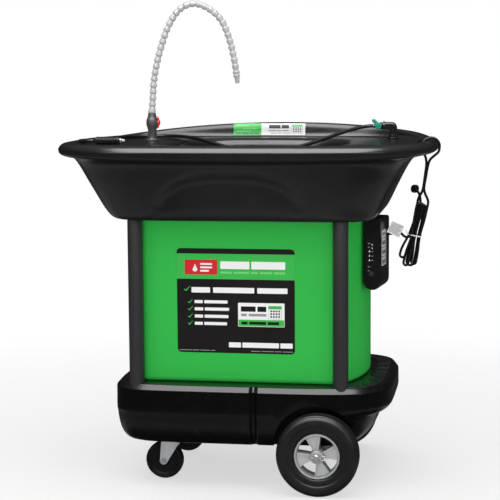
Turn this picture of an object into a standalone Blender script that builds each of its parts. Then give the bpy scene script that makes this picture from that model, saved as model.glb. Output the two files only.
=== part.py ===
"""Parts washer tank: a wheeled base, a green fluid tank between four posts and a wide sink on top.

Metres, +Z up, +X along the sink towards the two big wheels, -Y towards the user.
The origin is on the floor below the middle of the sink.
"""
import math

import bmesh
import bpy
from mathutils import Matrix, Vector

# Clearance left between pieces that touch
GAP = 0.0003

# Overall levels
BASE_BOTTOM = 0.113
BASE_TOP = 0.262
SINK_BOTTOM = 0.669
DECK = 0.850
RIM_TOP = 0.853

# Base plan
BASE_FRONT = 0.256
BASE_LEFT = 0.333
STEP_RIGHT = 0.384
GROOVE_X = 0.042
GROOVE_RADIUS = 0.011

# Posts
POST_RADIUS = 0.019
POST_X = 0.254
POST_Y = 0.223
SOCKET_DEPTH = 0.020

# Tank
TANK_HALF_DEPTH = 0.200
TANK_HALF_LENGTH = 0.306
TANK_END_RADIUS = 0.400
TANK_CORNER = 0.016
TANK_WALL = 0.005
TANK_FLOOR = 0.006
TANK_LIP = 0.019
TANK_LIP_DEPTH = 0.008
HEATER = Vector((0.02, 0.0, 0.310))
HEATER_BORE = 0.0130
DRAIN = Vector((-0.14, 0.0, 0.288))
DRAIN_BORE = 0.0120

# Sink
SINK_HALF_LENGTH = 0.476
SINK_HALF_DEPTH = 0.302
RIM_END_RISE = 0.013
RIM_SQUARENESS = 3.0
RIM_LEFT_SQUARENESS = 3.8
SPLASH_PEAK = 0.036
SPLASH_CENTRE = 0.05
SPLASH_FALL = 0.17
BOWL_LEFT = 0.205
BOWL_RIGHT = 0.262
BOWL_DEPTH = 0.224
BOWL_FLOOR = 0.706
DRAIN_HOLE_RADIUS = 0.030
SLOT_X = 0.4365
SLOT_HALF_WIDTH = 0.0125
SLOT_HALF_LENGTH = 0.050

# Wheels
WHEEL_X = 0.202
WHEEL_RADIUS = 0.1016
WHEEL_Y = 0.257
TYRE_HALF_WIDTH = 0.0285
TYRE_BORE = 0.0560
HUB_HALF_LENGTH = 0.0305
AXLE_RADIUS = 0.008
AXLE_HALF_LENGTH = 0.2975
ARCH_RADIUS = 0.114
ARCH_Y = 0.215
BRACKET_Y = 0.180

# Casters
CASTER_X = -0.183
CASTER_Y = 0.143
CASTER_TRAIL = 0.021
CASTER_RADIUS = 0.048
CASTER_HALF_WIDTH = 0.014
FORK_HALF_GAP = 0.0165
FORK_PLATE = 0.0025
FORK_CROWN_TOP = 0.1035

# Faucet and its bendable arm
FAUCET = Vector((-0.268, 0.04, DECK))
FAUCET_TOP = 0.9225
FAUCET_LEVER_Z = 0.897
ARM_RADIUS = 0.0090
ARM_SOCKET = 0.0072
ARM_BALL = 0.0062
ARM_LIP = 0.0010
ARM_SHOULDER = 0.0030
ARM_SIDES = 8
NOZZLE_LENGTH = 0.024
NOZZLE_RADIUS = 0.0060
ARM_ROUTE = [
    (-0.268, 0.9228), (-0.2655, 0.955), (-0.262, 1.000), (-0.254, 1.046), (-0.240, 1.096),
    (-0.221, 1.146), (-0.192, 1.187), (-0.154, 1.202), (-0.115, 1.189), (-0.083, 1.160),
    (-0.063, 1.116), (-0.051, 1.068), (-0.045, 1.032), (-0.041, 0.997),
]
ARM_SEGMENTS = 35
ARM_JOINTS = [6, 12, 18, 24, 29]

# Brush feed
ELBOW = Vector((0.352, 0.15, DECK))
ELBOW_RADIUS = 0.0105
ELBOW_BEND = 0.014
ELBOW_LEVEL = 0.884
ELBOW_END = 0.3245
BRUSH_VALVE_END = 0.3022
BRUSH_LEVER_X = 0.314
HOSE_RADIUS = 0.00475
BRUSH = Vector((-0.335, -0.168, 0.8603))
BRUSH_HALF_LENGTH = 0.031
BRUSH_RADIUS = 0.010
HOSE_ROUTE = [
    (-0.3682, -0.1725, 0.8603), (-0.384, -0.171, 0.8595), (-0.402, -0.160, 0.858), (-0.414, -0.134, 0.8575),
    (-0.417, -0.095, 0.8565), (-0.413, -0.045, 0.8555), (-0.404, 0.010, 0.8552), (-0.392, 0.065, 0.8552),
    (-0.373, 0.120, 0.8552), (-0.342, 0.168, 0.8552), (-0.300, 0.192, 0.8552), (-0.256, 0.188, 0.8552),
    (-0.219, 0.158, 0.8555), (-0.184, 0.112, 0.8553), (-0.148, 0.064, 0.8525), (-0.105, 0.022, 0.845),
    (-0.053, -0.010, 0.835), (0.005, -0.023, 0.828), (0.062, -0.015, 0.828), (0.114, 0.010, 0.835),
    (0.160, 0.046, 0.847), (0.201, 0.083, 0.861), (0.238, 0.116, 0.873), (0.270, 0.139, 0.8807),
    (0.2905, 0.1490, 0.8835), (0.3003, 0.150, 0.884),
]

# Control box on the right end of the tank
BOX_Y = -0.050
BOX_THICKNESS = 0.043
BOX_BOTTOM = 0.486
BOX_TOP = 0.665
BOX_FRONT = -0.050
BOX_REAR = 0.055
COVER_THICKNESS = 0.0077
BUTTON_Z = 0.528
BUTTON_RADIUS = 0.006
CORD_EXIT_LOCAL_Y = 0.035
CORD_EXIT_Z = 0.622
RELIEF_LENGTH = 0.025

# Power cord
CORD_RADIUS = 0.00325
HANK_CENTRE = Vector((0.4215, -0.0245, 0.6145))
HANK_LEAN = math.radians(11.5)
HANK_HALF_LENGTH = 0.090
HANK_HALF_WIDTH = 0.0225
HANK_HALF_THICKNESS = 0.017
HANGER_X = 0.459
HANGER_Z = 0.840
HANGER_RADIUS = 0.0215
STRAND_OFFSET = 0.0042
PLUG = Vector((0.4165, 0.0062, 0.729))

# Supply pipes inside the tank
PUMP = Vector((-0.02, 0.0, 0.0))
PUMP_OUTLET = 0.400
TEE_Z = 0.425
TEE_HALF_LENGTH = 0.035
PIPE_RADIUS = 0.006
PIPE_BORE = 0.0085
BRUSH_BORE_FOOT = Vector((0.2404, 0.15, 0.6657))
LEVEL_STEM = Vector((-0.16, -0.10, 0.0))
LEVEL_TOP = 0.460
STEM_FOOT = 0.004
STEM_RADIUS = 0.0045
FLOAT_HEIGHT = 0.040

# Numbers of sides that give round pieces their smoothness
SINK_STEPS = 44
BASE_STEPS = 40
TYRE_STEPS = 28


def clear_scene():
    for item in list(bpy.data.objects):
        bpy.data.objects.remove(item, do_unlink=True)


def finish(name, colour, roughness, metallic=0.0):
    material = bpy.data.materials.new(name)
    material.use_nodes = True
    shader = material.node_tree.nodes["Principled BSDF"]
    shader.inputs["Base Color"].default_value = (*colour, 1.0)
    shader.inputs["Roughness"].default_value = roughness
    shader.inputs["Metallic"].default_value = metallic
    return material


def make_finishes():
    return {
        "black_shell": finish("black_shell", (0.012, 0.012, 0.014), 0.42),
        "green": finish("tank_green", (0.035, 0.46, 0.065), 0.38),
        "post": finish("post_black", (0.035, 0.035, 0.037), 0.45, 0.3),
        "rubber": finish("tyre_rubber", (0.014, 0.014, 0.015), 0.70),
        "hub": finish("hub_grey", (0.36, 0.37, 0.38), 0.45),
        "zinc": finish("zinc_steel", (0.62, 0.63, 0.65), 0.30, 1.0),
        "steel": finish("bright_steel", (0.70, 0.70, 0.71), 0.25, 1.0),
        "caster_wheel": finish("caster_black", (0.010, 0.010, 0.011), 0.50),
        "valve": finish("valve_grey", (0.055, 0.055, 0.058), 0.50),
        "red": finish("lever_red", (0.75, 0.03, 0.02), 0.35),
        "teal": finish("lever_teal", (0.0, 0.30, 0.20), 0.40),
        "arm": finish("arm_grey", (0.42, 0.43, 0.44), 0.40),
        "hose": finish("hose_black", (0.012, 0.012, 0.012), 0.45),
        "box": finish("box_black", (0.010, 0.010, 0.011), 0.40),
        "cord": finish("cord_black", (0.010, 0.010, 0.010), 0.45),
        "tag": finish("tag_silver", (0.60, 0.60, 0.60), 0.45),
        "grate": finish("grate_grey", (0.10, 0.10, 0.105), 0.55),
        "mat": finish("mat_white", (0.62, 0.62, 0.58), 0.95),
        "pump": finish("pump_blue", (0.02, 0.03, 0.06), 0.45),
        "pipe": finish("pipe_clear", (0.55, 0.56, 0.55), 0.30),
    }


def mesh_object(name, build, material, smooth=True):
    """Turns a filled bmesh into a named object with outward faces."""
    bmesh.ops.remove_doubles(build, verts=build.verts, dist=1e-6)
    bmesh.ops.recalc_face_normals(build, faces=build.faces)
    mesh = bpy.data.meshes.new(name)
    build.to_mesh(mesh)
    build.free()
    if smooth:
        mesh.shade_smooth()
        mesh.set_sharp_from_angle(angle=math.radians(35))
    item = bpy.data.objects.new(name, mesh)
    bpy.context.scene.collection.objects.link(item)
    if material is not None:
        mesh.materials.append(material)
    return item


def loft(name, rings, material, closed=False):
    """Skins a list of rings. A ring of one point is a pole, and a plain end ring is filled flat."""
    build = bmesh.new()
    rows = [[build.verts.new(point) for point in ring] for ring in rings]
    pairs = list(zip(rows, rows[1:]))
    if closed:
        pairs.append((rows[-1], rows[0]))
    for lower, upper in pairs:
        count = max(len(lower), len(upper))
        for index in range(count):
            after = (index + 1) % count
            corners = []
            for row, order in ((lower, (index, after)), (upper, (after, index))):
                corners += [row[0]] if len(row) == 1 else [row[order[0]], row[order[1]]]
            build.faces.new(corners)
    if not closed:
        for row in (rows[0], rows[-1]):
            if len(row) > 1:
                build.faces.new(row)
    return mesh_object(name, build, material)


def circle(centre, direction, radius, sides, start=0.0):
    """Points around a circle whose axis is the given direction."""
    direction = Vector(direction).normalized()
    helper = Vector((0, 1, 0)) if abs(direction.y) < 0.9 else Vector((0, 0, 1))
    across = direction.cross(helper).normalized()
    other = direction.cross(across).normalized()
    points = []
    for index in range(sides):
        turn = start + math.tau * index / sides
        points.append(Vector(centre) + radius * (math.cos(turn) * across + math.sin(turn) * other))
    return points


def turned(name, profile, material, centre, axis=(0, 0, 1), sides=24, closed=False):
    """A turned piece: profile holds (radius, distance along the axis) from one end to the other."""
    axis = Vector(axis).normalized()
    rings = []
    for radius, distance in profile:
        middle = Vector(centre) + axis * distance
        rings.append([middle] if radius == 0 else circle(middle, axis, radius, sides))
    return loft(name, rings, material, closed)


def block(name, low, high, material, bevel=0.0, place=None):
    """A box between two corners, with rounded edges where a bevel is given."""
    build = bmesh.new()
    bmesh.ops.create_cube(build, size=1.0)
    size = Vector(high) - Vector(low)
    middle = (Vector(high) + Vector(low)) / 2
    for vertex in build.verts:
        vertex.co = Vector((vertex.co.x * size.x, vertex.co.y * size.y, vertex.co.z * size.z)) + middle
    if bevel:
        bmesh.ops.bevel(build, geom=build.edges[:], offset=bevel, segments=2, affect="EDGES", profile=0.5)
    if place is not None:
        build.transform(place)
    return mesh_object(name, build, material)


def extruded(name, outline, low, high, axis, material):
    """A flat outline of (first, second) coordinates, extruded between two levels along an axis."""
    def point(first, second, level):
        return {"x": (level, first, second), "y": (first, level, second), "z": (first, second, level)}[axis]
    rings = [[point(first, second, level) for first, second in outline] for level in (low, high)]
    return loft(name, rings, material)


def smooth_route(points, spacing):
    """Points at an even spacing along a smooth curve through the route's own points."""
    route = [Vector(point) for point in points]
    ends = [2 * route[0] - route[1]] + route + [2 * route[-1] - route[-2]]
    fine = []
    for a, b, c, d in zip(ends, ends[1:], ends[2:], ends[3:]):
        for step in range(24):
            t = step / 24
            fine.append(0.5 * (2 * b + (c - a) * t + (2 * a - 5 * b + 4 * c - d) * t * t
                               + (3 * b - a - 3 * c + d) * t ** 3))
    fine.append(route[-1])
    lengths = [0.0]
    for a, b in zip(fine, fine[1:]):
        lengths.append(lengths[-1] + (b - a).length)
    count = max(2, round(lengths[-1] / spacing))
    result = []
    index = 0
    for step in range(count + 1):
        wanted = lengths[-1] * step / count
        while index < len(fine) - 2 and lengths[index + 1] < wanted:
            index += 1
        share = (wanted - lengths[index]) / (lengths[index + 1] - lengths[index])
        result.append(fine[index].lerp(fine[index + 1], min(1.0, share)))
    return result


def tube(name, points, radius, material, resolution=2):
    """A round tube along a line of points, with filled ends."""
    curve = bpy.data.curves.new(name, "CURVE")
    curve.dimensions = "3D"
    curve.bevel_depth = radius
    curve.bevel_resolution = resolution
    curve.use_fill_caps = True
    spline = curve.splines.new("POLY")
    spline.points.add(len(points) - 1)
    for target, point in zip(spline.points, points):
        target.co = (*point, 1.0)
    curve.materials.append(material)
    item = bpy.data.objects.new(name, curve)
    bpy.context.scene.collection.objects.link(item)
    return item


def boolean(target, tool, operation="DIFFERENCE"):
    """Cuts a tool out of a piece, or joins it on, and hides the tool."""
    tool.hide_render = True
    tool.display_type = "WIRE"
    modifier = target.modifiers.new(tool.name, "BOOLEAN")
    modifier.operation = operation
    modifier.solver = "EXACT"
    modifier.object = tool


def bore(target, centre, axis, radius, low, high, sides=24):
    """A round hole along an axis, between two distances from the centre."""
    profile = [(0, low), (radius, low), (radius, high), (0, high)]
    boolean(target, turned(target.name + "_cut", profile, None, centre, axis, sides))


def set_origin(item, place):
    """Moves an object's origin to its joint's axis and leaves its shape where it is."""
    item.data.transform(Matrix.Translation(-Vector(place)))
    item.location = place


def oval_ring(level, left, right, depth, power_left, power_right, steps):
    """A rounded plan outline whose two ends may differ in length and in squareness."""
    points = []
    for index in range(steps):
        turn = math.tau * (index + 0.5) / steps
        reach, power = (right, power_right) if math.cos(turn) > 0 else (left, power_left)
        x = math.copysign(reach * abs(math.cos(turn)) ** (2 / power), math.cos(turn))
        y = math.copysign(depth * abs(math.sin(turn)) ** (2 / power), math.sin(turn))
        points.append(Vector((x, y, level)))
    return points


def smoothstep(value):
    value = min(1.0, max(0.0, value))
    return value * value * (3 - 2 * value)


def splash_height(x, y):
    """How far the raised back edge stands above the rim."""
    arch = max(0.0, SPLASH_PEAK - SPLASH_FALL * (x - SPLASH_CENTRE) ** 2)
    return arch * smoothstep((y - 0.05) / 0.15)


def make_base(finishes):
    """The moulded base: a body under a wider step at the right end, with wheel arches and post sockets."""
    levels = [
        (BASE_BOTTOM, 0.296, 0.292, 0.224, 7.0, 5.0),
        (0.1165, 0.308, 0.306, 0.234, 7.0, 4.6),
        (0.130, 0.320, 0.325, 0.245, 7.0, 4.4),
        (0.155, 0.328, 0.343, 0.252, 7.0, 4.2),
        (0.190, 0.332, 0.353, 0.255, 7.0, 4.4),
        (0.194, BASE_LEFT, 0.370, BASE_FRONT, 7.0, 4.8),
        (0.206, BASE_LEFT, STEP_RIGHT, BASE_FRONT, 7.0, 4.8),
        (0.238, 0.332, STEP_RIGHT, BASE_FRONT, 7.0, 4.8),
        (0.252, 0.329, 0.379, 0.2535, 7.2, 5.0),
        (0.2595, 0.324, 0.371, 0.2495, 7.6, 5.4),
        (BASE_TOP, 0.318, 0.362, 0.245, 8.0, 6.0),
    ]
    rings = [oval_ring(*level, BASE_STEPS) for level in levels]
    base = loft("base_shell", rings, finishes["black_shell"])
    for side in (-1, 1):
        arch = [(0, 0), (ARCH_RADIUS, 0), (ARCH_RADIUS, 0.06), (0, 0.06)]
        centre = (WHEEL_X, side * ARCH_Y, WHEEL_RADIUS)
        boolean(base, turned("wheel_arch_cut", arch, None, centre, (0, side, 0), 32))
        groove = (GROOVE_X, side * (BASE_FRONT + 0.004), 0.10)
        bore(base, groove, (0, 0, 1), GROOVE_RADIUS, 0, 0.18, 12)
        for end in (-1, 1):
            place = (end * POST_X, side * POST_Y, BASE_TOP - SOCKET_DEPTH)
            bore(base, place, (0, 0, 1), POST_RADIUS + GAP, 0, 0.05)
    return base


def make_posts(finishes):
    for end, end_name in ((-1, "left"), (1, "right")):
        for side, side_name in ((-1, "front"), (1, "rear")):
            low = BASE_TOP - SOCKET_DEPTH + GAP
            high = SINK_BOTTOM + SOCKET_DEPTH - GAP
            profile = [(0, low), (POST_RADIUS, low), (POST_RADIUS, high), (0, high)]
            name = f"post_{side_name}_{end_name}"
            turned(name, profile, finishes["post"], (end * POST_X, side * POST_Y, 0))


def tank_ring(level, inset):
    """The tank's plan: flat front and back, bulging ends and small round corners."""
    half_depth = TANK_HALF_DEPTH - inset
    end_radius = TANK_END_RADIUS - inset
    corner = max(TANK_CORNER - inset, 0.003)
    end_centre = TANK_HALF_LENGTH - TANK_END_RADIUS
    corner_x = end_centre + math.sqrt((end_radius - corner) ** 2 - (half_depth - corner) ** 2)
    tangent = math.atan2(-(half_depth - corner), corner_x - end_centre)
    quarter = []
    for step in range(4):
        turn = -math.pi / 2 + (tangent + math.pi / 2) * step / 3
        quarter.append((corner_x + corner * math.cos(turn), corner - half_depth + corner * math.sin(turn)))
    for step in range(1, 5):
        turn = tangent * (1 - step / 4.5)
        quarter.append((end_centre + end_radius * math.cos(turn), end_radius * math.sin(turn)))
    right_end = quarter + [(x, -y) for x, y in reversed(quarter)]
    outline = right_end + [(-x, -y) for x, y in right_end]
    return [Vector((x, y, level)) for x, y in outline]


def make_tank(finishes):
    """The open-topped fluid tank, with an inward lip under the sink and two bores in its back wall."""
    bottom = BASE_TOP + GAP
    top = SINK_BOTTOM - GAP
    rings = [
        tank_ring(bottom, 0.008),
        tank_ring(bottom + 0.008, 0.0),
        tank_ring(top, 0.0),
        tank_ring(top, TANK_LIP),
        tank_ring(top - TANK_LIP_DEPTH, TANK_LIP),
        tank_ring(top - TANK_LIP_DEPTH, TANK_WALL),
        tank_ring(bottom + TANK_FLOOR, TANK_WALL),
    ]
    tank = loft("tank_body", rings, finishes["green"])
    bore(tank, HEATER, (0, 1, 0), HEATER_BORE, 0.18, 0.22)
    bore(tank, DRAIN, (0, 1, 0), DRAIN_BORE, 0.18, 0.22)
    wall = TANK_HALF_DEPTH + GAP
    heater = [
        (0, 0.226), (0.014, 0.226), (0.014, 0.209), (0.022, 0.209), (0.022, wall), (HEATER_BORE - GAP, wall),
        (HEATER_BORE - GAP, 0.188), (0.006, 0.184), (0.006, 0.064), (0.004, 0.060), (0, 0.060),
    ]
    turned("heater_element", heater, finishes["steel"], HEATER, (0, 1, 0), 12)
    plug = [
        (0, 0.222), (0.010, 0.222), (0.011, 0.208), (0.018, 0.208), (0.018, wall), (DRAIN_BORE - GAP, wall),
        (DRAIN_BORE - GAP, 0.189), (0, 0.189),
    ]
    turned("drain_plug", plug, finishes["valve"], DRAIN, (0, 1, 0), 12)


def make_tank_contents(finishes):
    """The pump, its tee and the two supply pipes, and the float on its stem."""
    floor = BASE_TOP + GAP + TANK_FLOOR + GAP
    body = [
        (0, floor), (0.047, floor), (0.047, 0.283), (0.040, 0.286), (0.040, 0.355), (0.034, 0.366),
        (0.0095, 0.372), (0.0095, PUMP_OUTLET), (0, PUMP_OUTLET),
    ]
    turned("pump_body", body, finishes["pump"], PUMP, sides=16)
    riser = [(0, PUMP_OUTLET + GAP), (0.012, PUMP_OUTLET + GAP), (0.012, 0.440), (0, 0.440)]
    tee = turned("manifold_tee", riser, finishes["valve"], PUMP, sides=16)
    arms = [(0, -TEE_HALF_LENGTH), (0.0095, -TEE_HALF_LENGTH), (0.0095, TEE_HALF_LENGTH), (0, TEE_HALF_LENGTH)]
    boolean(tee, turned("tee_arms", arms, None, PUMP + Vector((0, 0, TEE_Z)), (1, 0, 0), 16), "UNION")

    reach = TEE_HALF_LENGTH + GAP
    x, y = FAUCET.x, FAUCET.y
    left = [
        (PUMP.x - reach, 0, TEE_Z), (-0.115, 0.0, TEE_Z), (-0.175, 0.008, 0.431), (-0.225, 0.023, 0.453),
        (-0.256, 0.036, 0.492), (x, y, 0.545), (x, y, 0.610), (x, y, 0.680), (x, y, 0.760), (x, y, DECK - GAP),
    ]
    tube("faucet_supply_pipe", smooth_route(left, 0.03), PIPE_RADIUS, finishes["pipe"])
    slope = (ELBOW - BRUSH_BORE_FOOT).normalized()
    right = [(PUMP.x + reach, 0, TEE_Z), (0.070, 0.004, 0.428), (0.120, 0.035, 0.447), (0.158, 0.085, 0.487)]
    right += [ELBOW - slope * distance for distance in (0.318, 0.262, 0.2, 0.1, PIPE_RADIUS)]
    tube("brush_supply_pipe", smooth_route(right, 0.03), PIPE_RADIUS, finishes["pipe"])

    foot = floor + STEM_FOOT
    collar = LEVEL_TOP - 0.006
    stem = [
        (0, floor), (0.020, floor), (0.020, foot), (STEM_RADIUS, foot), (STEM_RADIUS, collar),
        (0.009, collar), (0.009, LEVEL_TOP), (0, LEVEL_TOP),
    ]
    turned("level_stem", stem, finishes["steel"], LEVEL_STEM, sides=12)
    low = foot + GAP
    high = low + FLOAT_HEIGHT
    ring = [(STEM_RADIUS + 0.0007, low), (0.020, low), (0.020, high), (STEM_RADIUS + 0.0007, high)]
    level_float = turned("level_float", ring, finishes["pipe"], LEVEL_STEM, sides=20, closed=True)
    set_origin(level_float, LEVEL_STEM + Vector((0, 0, low)))


def make_sink(finishes):
    """The sink: a flared outer wall, a rolled rim with a raised back, a deck and the bowl."""
    # Level, reach to the left, right and front, roundness at the left and right end, share of the raised back,
    # share of the end rise
    levels = [
        (SINK_BOTTOM, 0.300, 0.330, 0.252, 8.0, 8.0, 0, 0),
        (0.6745, 0.327, 0.341, 0.260, 6.0, 6.0, 0, 0),
        (0.690, 0.350, 0.349, 0.266, 5.0, 5.0, 0, 0),
        (0.750, 0.391, 0.367, 0.275, 4.2, 4.2, 0, 0),
        (0.808, 0.437, 0.408, 0.284, 3.5, 3.3, 0, 1),
        (0.8085, 0.459, 0.455, 0.291, RIM_LEFT_SQUARENESS, RIM_SQUARENESS, 0, 1),
        (0.816, 0.471, 0.470, 0.299, RIM_LEFT_SQUARENESS, RIM_SQUARENESS, 0, 1),
        (0.830, SINK_HALF_LENGTH, SINK_HALF_LENGTH, SINK_HALF_DEPTH, RIM_LEFT_SQUARENESS, RIM_SQUARENESS, 0, 0.3),
        (0.840, 0.473, 0.473, 0.300, RIM_LEFT_SQUARENESS, RIM_SQUARENESS, 0.75, 0),
        (0.8505, 0.462, 0.462, 0.289, RIM_LEFT_SQUARENESS, RIM_SQUARENESS, 1, 0),
        (RIM_TOP, 0.452, 0.452, 0.281, RIM_LEFT_SQUARENESS, RIM_SQUARENESS, 1, 0),
        (RIM_TOP, 0.438, 0.438, 0.270, RIM_LEFT_SQUARENESS, RIM_SQUARENESS, 1, 0),
        (DECK, 0.426, 0.426, 0.256, RIM_LEFT_SQUARENESS, RIM_SQUARENESS, 0, 0),
        (DECK, BOWL_LEFT, BOWL_RIGHT, BOWL_DEPTH, 3.2, 3.2, 0, 0),
        (0.842, BOWL_LEFT - 0.012, BOWL_RIGHT - 0.012, BOWL_DEPTH - 0.010, 3.2, 3.2, 0, 0),
        (0.722, BOWL_LEFT - 0.034, BOWL_RIGHT - 0.034, BOWL_DEPTH - 0.030, 3.4, 3.4, 0, 0),
        (BOWL_FLOOR, BOWL_LEFT - 0.054, BOWL_RIGHT - 0.054, BOWL_DEPTH - 0.048, 3.4, 3.4, 0, 0),
        (0.700, DRAIN_HOLE_RADIUS, DRAIN_HOLE_RADIUS, DRAIN_HOLE_RADIUS, 2.0, 2.0, 0, 0),
        (SINK_BOTTOM, DRAIN_HOLE_RADIUS, DRAIN_HOLE_RADIUS, DRAIN_HOLE_RADIUS, 2.0, 2.0, 0, 0),
    ]
    rings = []
    for level, left, right, depth, power_left, power_right, raised, risen in levels:
        ring = oval_ring(level, left, right, depth, power_left, power_right, SINK_STEPS)
        for point in ring:
            end_share = (abs(point.x) / SINK_HALF_LENGTH) ** 4
            point.z += raised * splash_height(point.x, point.y) + risen * RIM_END_RISE * end_share
        rings.append(ring)
    sink = loft("sink_basin", rings, finishes["black_shell"], closed=True)
    for end in (-1, 1):
        for side in (-1, 1):
            place = (end * POST_X, side * POST_Y, SINK_BOTTOM - 0.02)
            bore(sink, place, (0, 0, 1), POST_RADIUS + GAP, 0, 0.02 + SOCKET_DEPTH)
    bore(sink, FAUCET, (0, 0, 1), PIPE_BORE, SINK_BOTTOM - DECK - 0.02, 0.02, 16)
    slope = ELBOW - BRUSH_BORE_FOOT
    bore(sink, BRUSH_BORE_FOOT, slope, PIPE_BORE, -0.02, slope.length + 0.02, 16)
    low = (SLOT_X - SLOT_HALF_WIDTH, -SLOT_HALF_LENGTH, 0.78)
    high = (SLOT_X + SLOT_HALF_WIDTH, SLOT_HALF_LENGTH, 0.89)
    boolean(sink, block("hand_slot_cut", low, high, None))


def make_grate(finishes):
    """The lift-out grate: a plate with a grid of square holes, and a fibre mat below it."""
    level = BOWL_FLOOR + 0.016
    thickness = 0.005
    columns, rows = 6, 5
    low_x, high_x = -0.138, 0.190
    low_y, high_y = -0.150, 0.150
    pitch_x = (high_x - low_x) / columns
    pitch_y = (high_y - low_y) / rows
    bar = 0.005
    build = bmesh.new()

    def line(low, pitch, count):
        edges = []
        for index in range(count):
            edges += [low + pitch * index + bar, low + pitch * (index + 1) - bar]
        return [low] + edges + [low + pitch * count]

    across = line(low_x, pitch_x, columns)
    along = line(low_y, pitch_y, rows)
    solid = {}
    for i in range(len(across) - 1):
        for j in range(len(along) - 1):
            solid[i, j] = not (i % 2 == 1 and j % 2 == 1)
    points = {}

    def vertex(i, j, upper):
        if (i, j, upper) not in points:
            place = (across[i], along[j], level + thickness * upper)
            points[i, j, upper] = build.verts.new(place)
        return points[i, j, upper]

    for (i, j), filled in solid.items():
        if not filled:
            continue
        for upper in (0, 1):
            corners = [(i, j), (i + 1, j), (i + 1, j + 1), (i, j + 1)]
            build.faces.new([vertex(a, b, upper) for a, b in (corners if upper else reversed(corners))])
        sides = {(0, -1): ((i, j), (i + 1, j)), (1, 0): ((i + 1, j), (i + 1, j + 1)),
                 (0, 1): ((i + 1, j + 1), (i, j + 1)), (-1, 0): ((i, j + 1), (i, j))}
        for (di, dj), (first, second) in sides.items():
            if not solid.get((i + di, j + dj), False):
                build.faces.new([vertex(*first, 0), vertex(*second, 0), vertex(*second, 1), vertex(*first, 1)])
    grate = mesh_object("sink_grate", build, finishes["grate"], smooth=False)
    set_origin(grate, ((low_x + high_x) / 2, 0, level))
    low_level = BOWL_FLOOR + GAP
    rings = [oval_ring(z, 0.142, 0.198, 0.166, 3.4, 3.4, 24) for z in (low_level, level - GAP)]
    loft("filter_mat", rings, finishes["mat"])


def make_faucet(finishes):
    """The faucet's valve body on the left deck, its red lever and the segmented arm."""
    profile = [
        (0, GAP), (0.0165, GAP), (0.0165, 0.0045), (0.0115, 0.0065), (0.0105, 0.024), (0.0125, 0.034),
        (0.0150, 0.043), (0.0150, 0.051), (0.0125, 0.062), (0.0100, FAUCET_TOP - DECK), (0, FAUCET_TOP - DECK),
    ]
    body = turned("faucet_valve_body", profile, finishes["valve"], FAUCET, sides=16)
    pivot = Vector((FAUCET.x, FAUCET.y, FAUCET_LEVER_Z))
    spindle = [(0, 0.008), (0.0055, 0.008), (0.0055, 0.0170), (0, 0.0170)]
    boolean(body, turned("faucet_spindle", spindle, None, pivot, (1, 0, 0), 12), "UNION")
    face = 0.0170 + GAP
    hub = [(0, face), (0.0070, face), (0.0070, face + 0.0055), (0.0055, face + 0.007), (0, face + 0.007)]
    lever = turned("faucet_lever", hub, finishes["red"], pivot, (1, 0, 0), 12)
    low = pivot + Vector((face + 0.001, -0.0045, -0.016))
    high = pivot + Vector((face + 0.005, 0.0045, 0.016))
    boolean(lever, block("faucet_lever_blade", low, high, None, 0.0012), "UNION")
    set_origin(lever, pivot)
    make_arm(finishes)


def arm_line():
    """The arm's centre line: fine points, and the distance of each along it."""
    points = smooth_route([(x, FAUCET.y, z) for x, z in ARM_ROUTE], 0.002)
    distances = [0.0]
    for a, b in zip(points, points[1:]):
        distances.append(distances[-1] + (b - a).length)
    return points, distances


def arm_station(points, distances, wanted):
    """The place and direction of the arm's centre line at a distance along it."""
    index = max(1, min(len(points) - 2, next(i for i, d in enumerate(distances) if d >= wanted - 1e-9)))
    share = (wanted - distances[index - 1]) / (distances[index] - distances[index - 1])
    place = points[index - 1].lerp(points[index], share)
    return place, (points[index + 1] - points[index - 1]).normalized()


def arm_section(name, start, end, line, first, last, material):
    """One stretch of the arm: a socket at its lower joint and a ball at its upper one."""
    points, distances = line
    rings = []

    def ring(place, direction, offset, radius):
        middle = place + direction * offset
        rings.append([middle] if radius == 0 else circle(middle, direction, radius, ARM_SIDES))

    place, direction = arm_station(points, distances, start)
    if first:
        ring(place, Vector((0, 0, 1)), 0.0, 0)
        ring(place, Vector((0, 0, 1)), 0.0, ARM_RADIUS)
    else:
        ring(place, direction, ARM_SOCKET, 0)
        for turn in (math.radians(35), math.radians(65)):
            ring(place, direction, ARM_SOCKET * math.cos(turn), ARM_SOCKET * math.sin(turn))
        ring(place, direction, ARM_LIP, math.sqrt(ARM_SOCKET ** 2 - ARM_LIP ** 2))
        ring(place, direction, ARM_LIP, ARM_RADIUS)
    tip = end if not last else end - NOZZLE_LENGTH
    steps = max(3, round((tip - start) / 0.014))
    for step in range(1, steps):
        where = start + (tip - start) * step / steps
        ring(*arm_station(points, distances, where), 0.0, ARM_RADIUS)
    place, direction = arm_station(points, distances, tip)
    if last:
        ring(place, direction, 0.0, ARM_RADIUS)
        ring(place, direction, 0.004, NOZZLE_RADIUS + 0.002)
        ring(place, direction, NOZZLE_LENGTH, NOZZLE_RADIUS)
        ring(place, direction, NOZZLE_LENGTH, 0)
    else:
        ring(place, direction, -ARM_SHOULDER, ARM_RADIUS)
        for turn in (math.asin(-ARM_SHOULDER / ARM_BALL), math.radians(15), math.radians(50)):
            ring(place, direction, ARM_BALL * math.sin(turn), ARM_BALL * math.cos(turn))
        ring(place, direction, ARM_BALL, 0)
    item = loft(name, rings, material)
    set_origin(item, arm_station(points, distances, start)[0])


def make_arm(finishes):
    line = arm_line()
    length = line[1][-1]
    joints = [length * count / ARM_SEGMENTS for count in [0] + ARM_JOINTS + [ARM_SEGMENTS]]
    sections = len(joints) - 1
    for index in range(sections):
        last = index == sections - 1
        name = "arm_nozzle" if last else f"arm_section_{index + 1}"
        arm_section(name, joints[index], joints[index + 1], line, index == 0, last, finishes["arm"])


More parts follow.
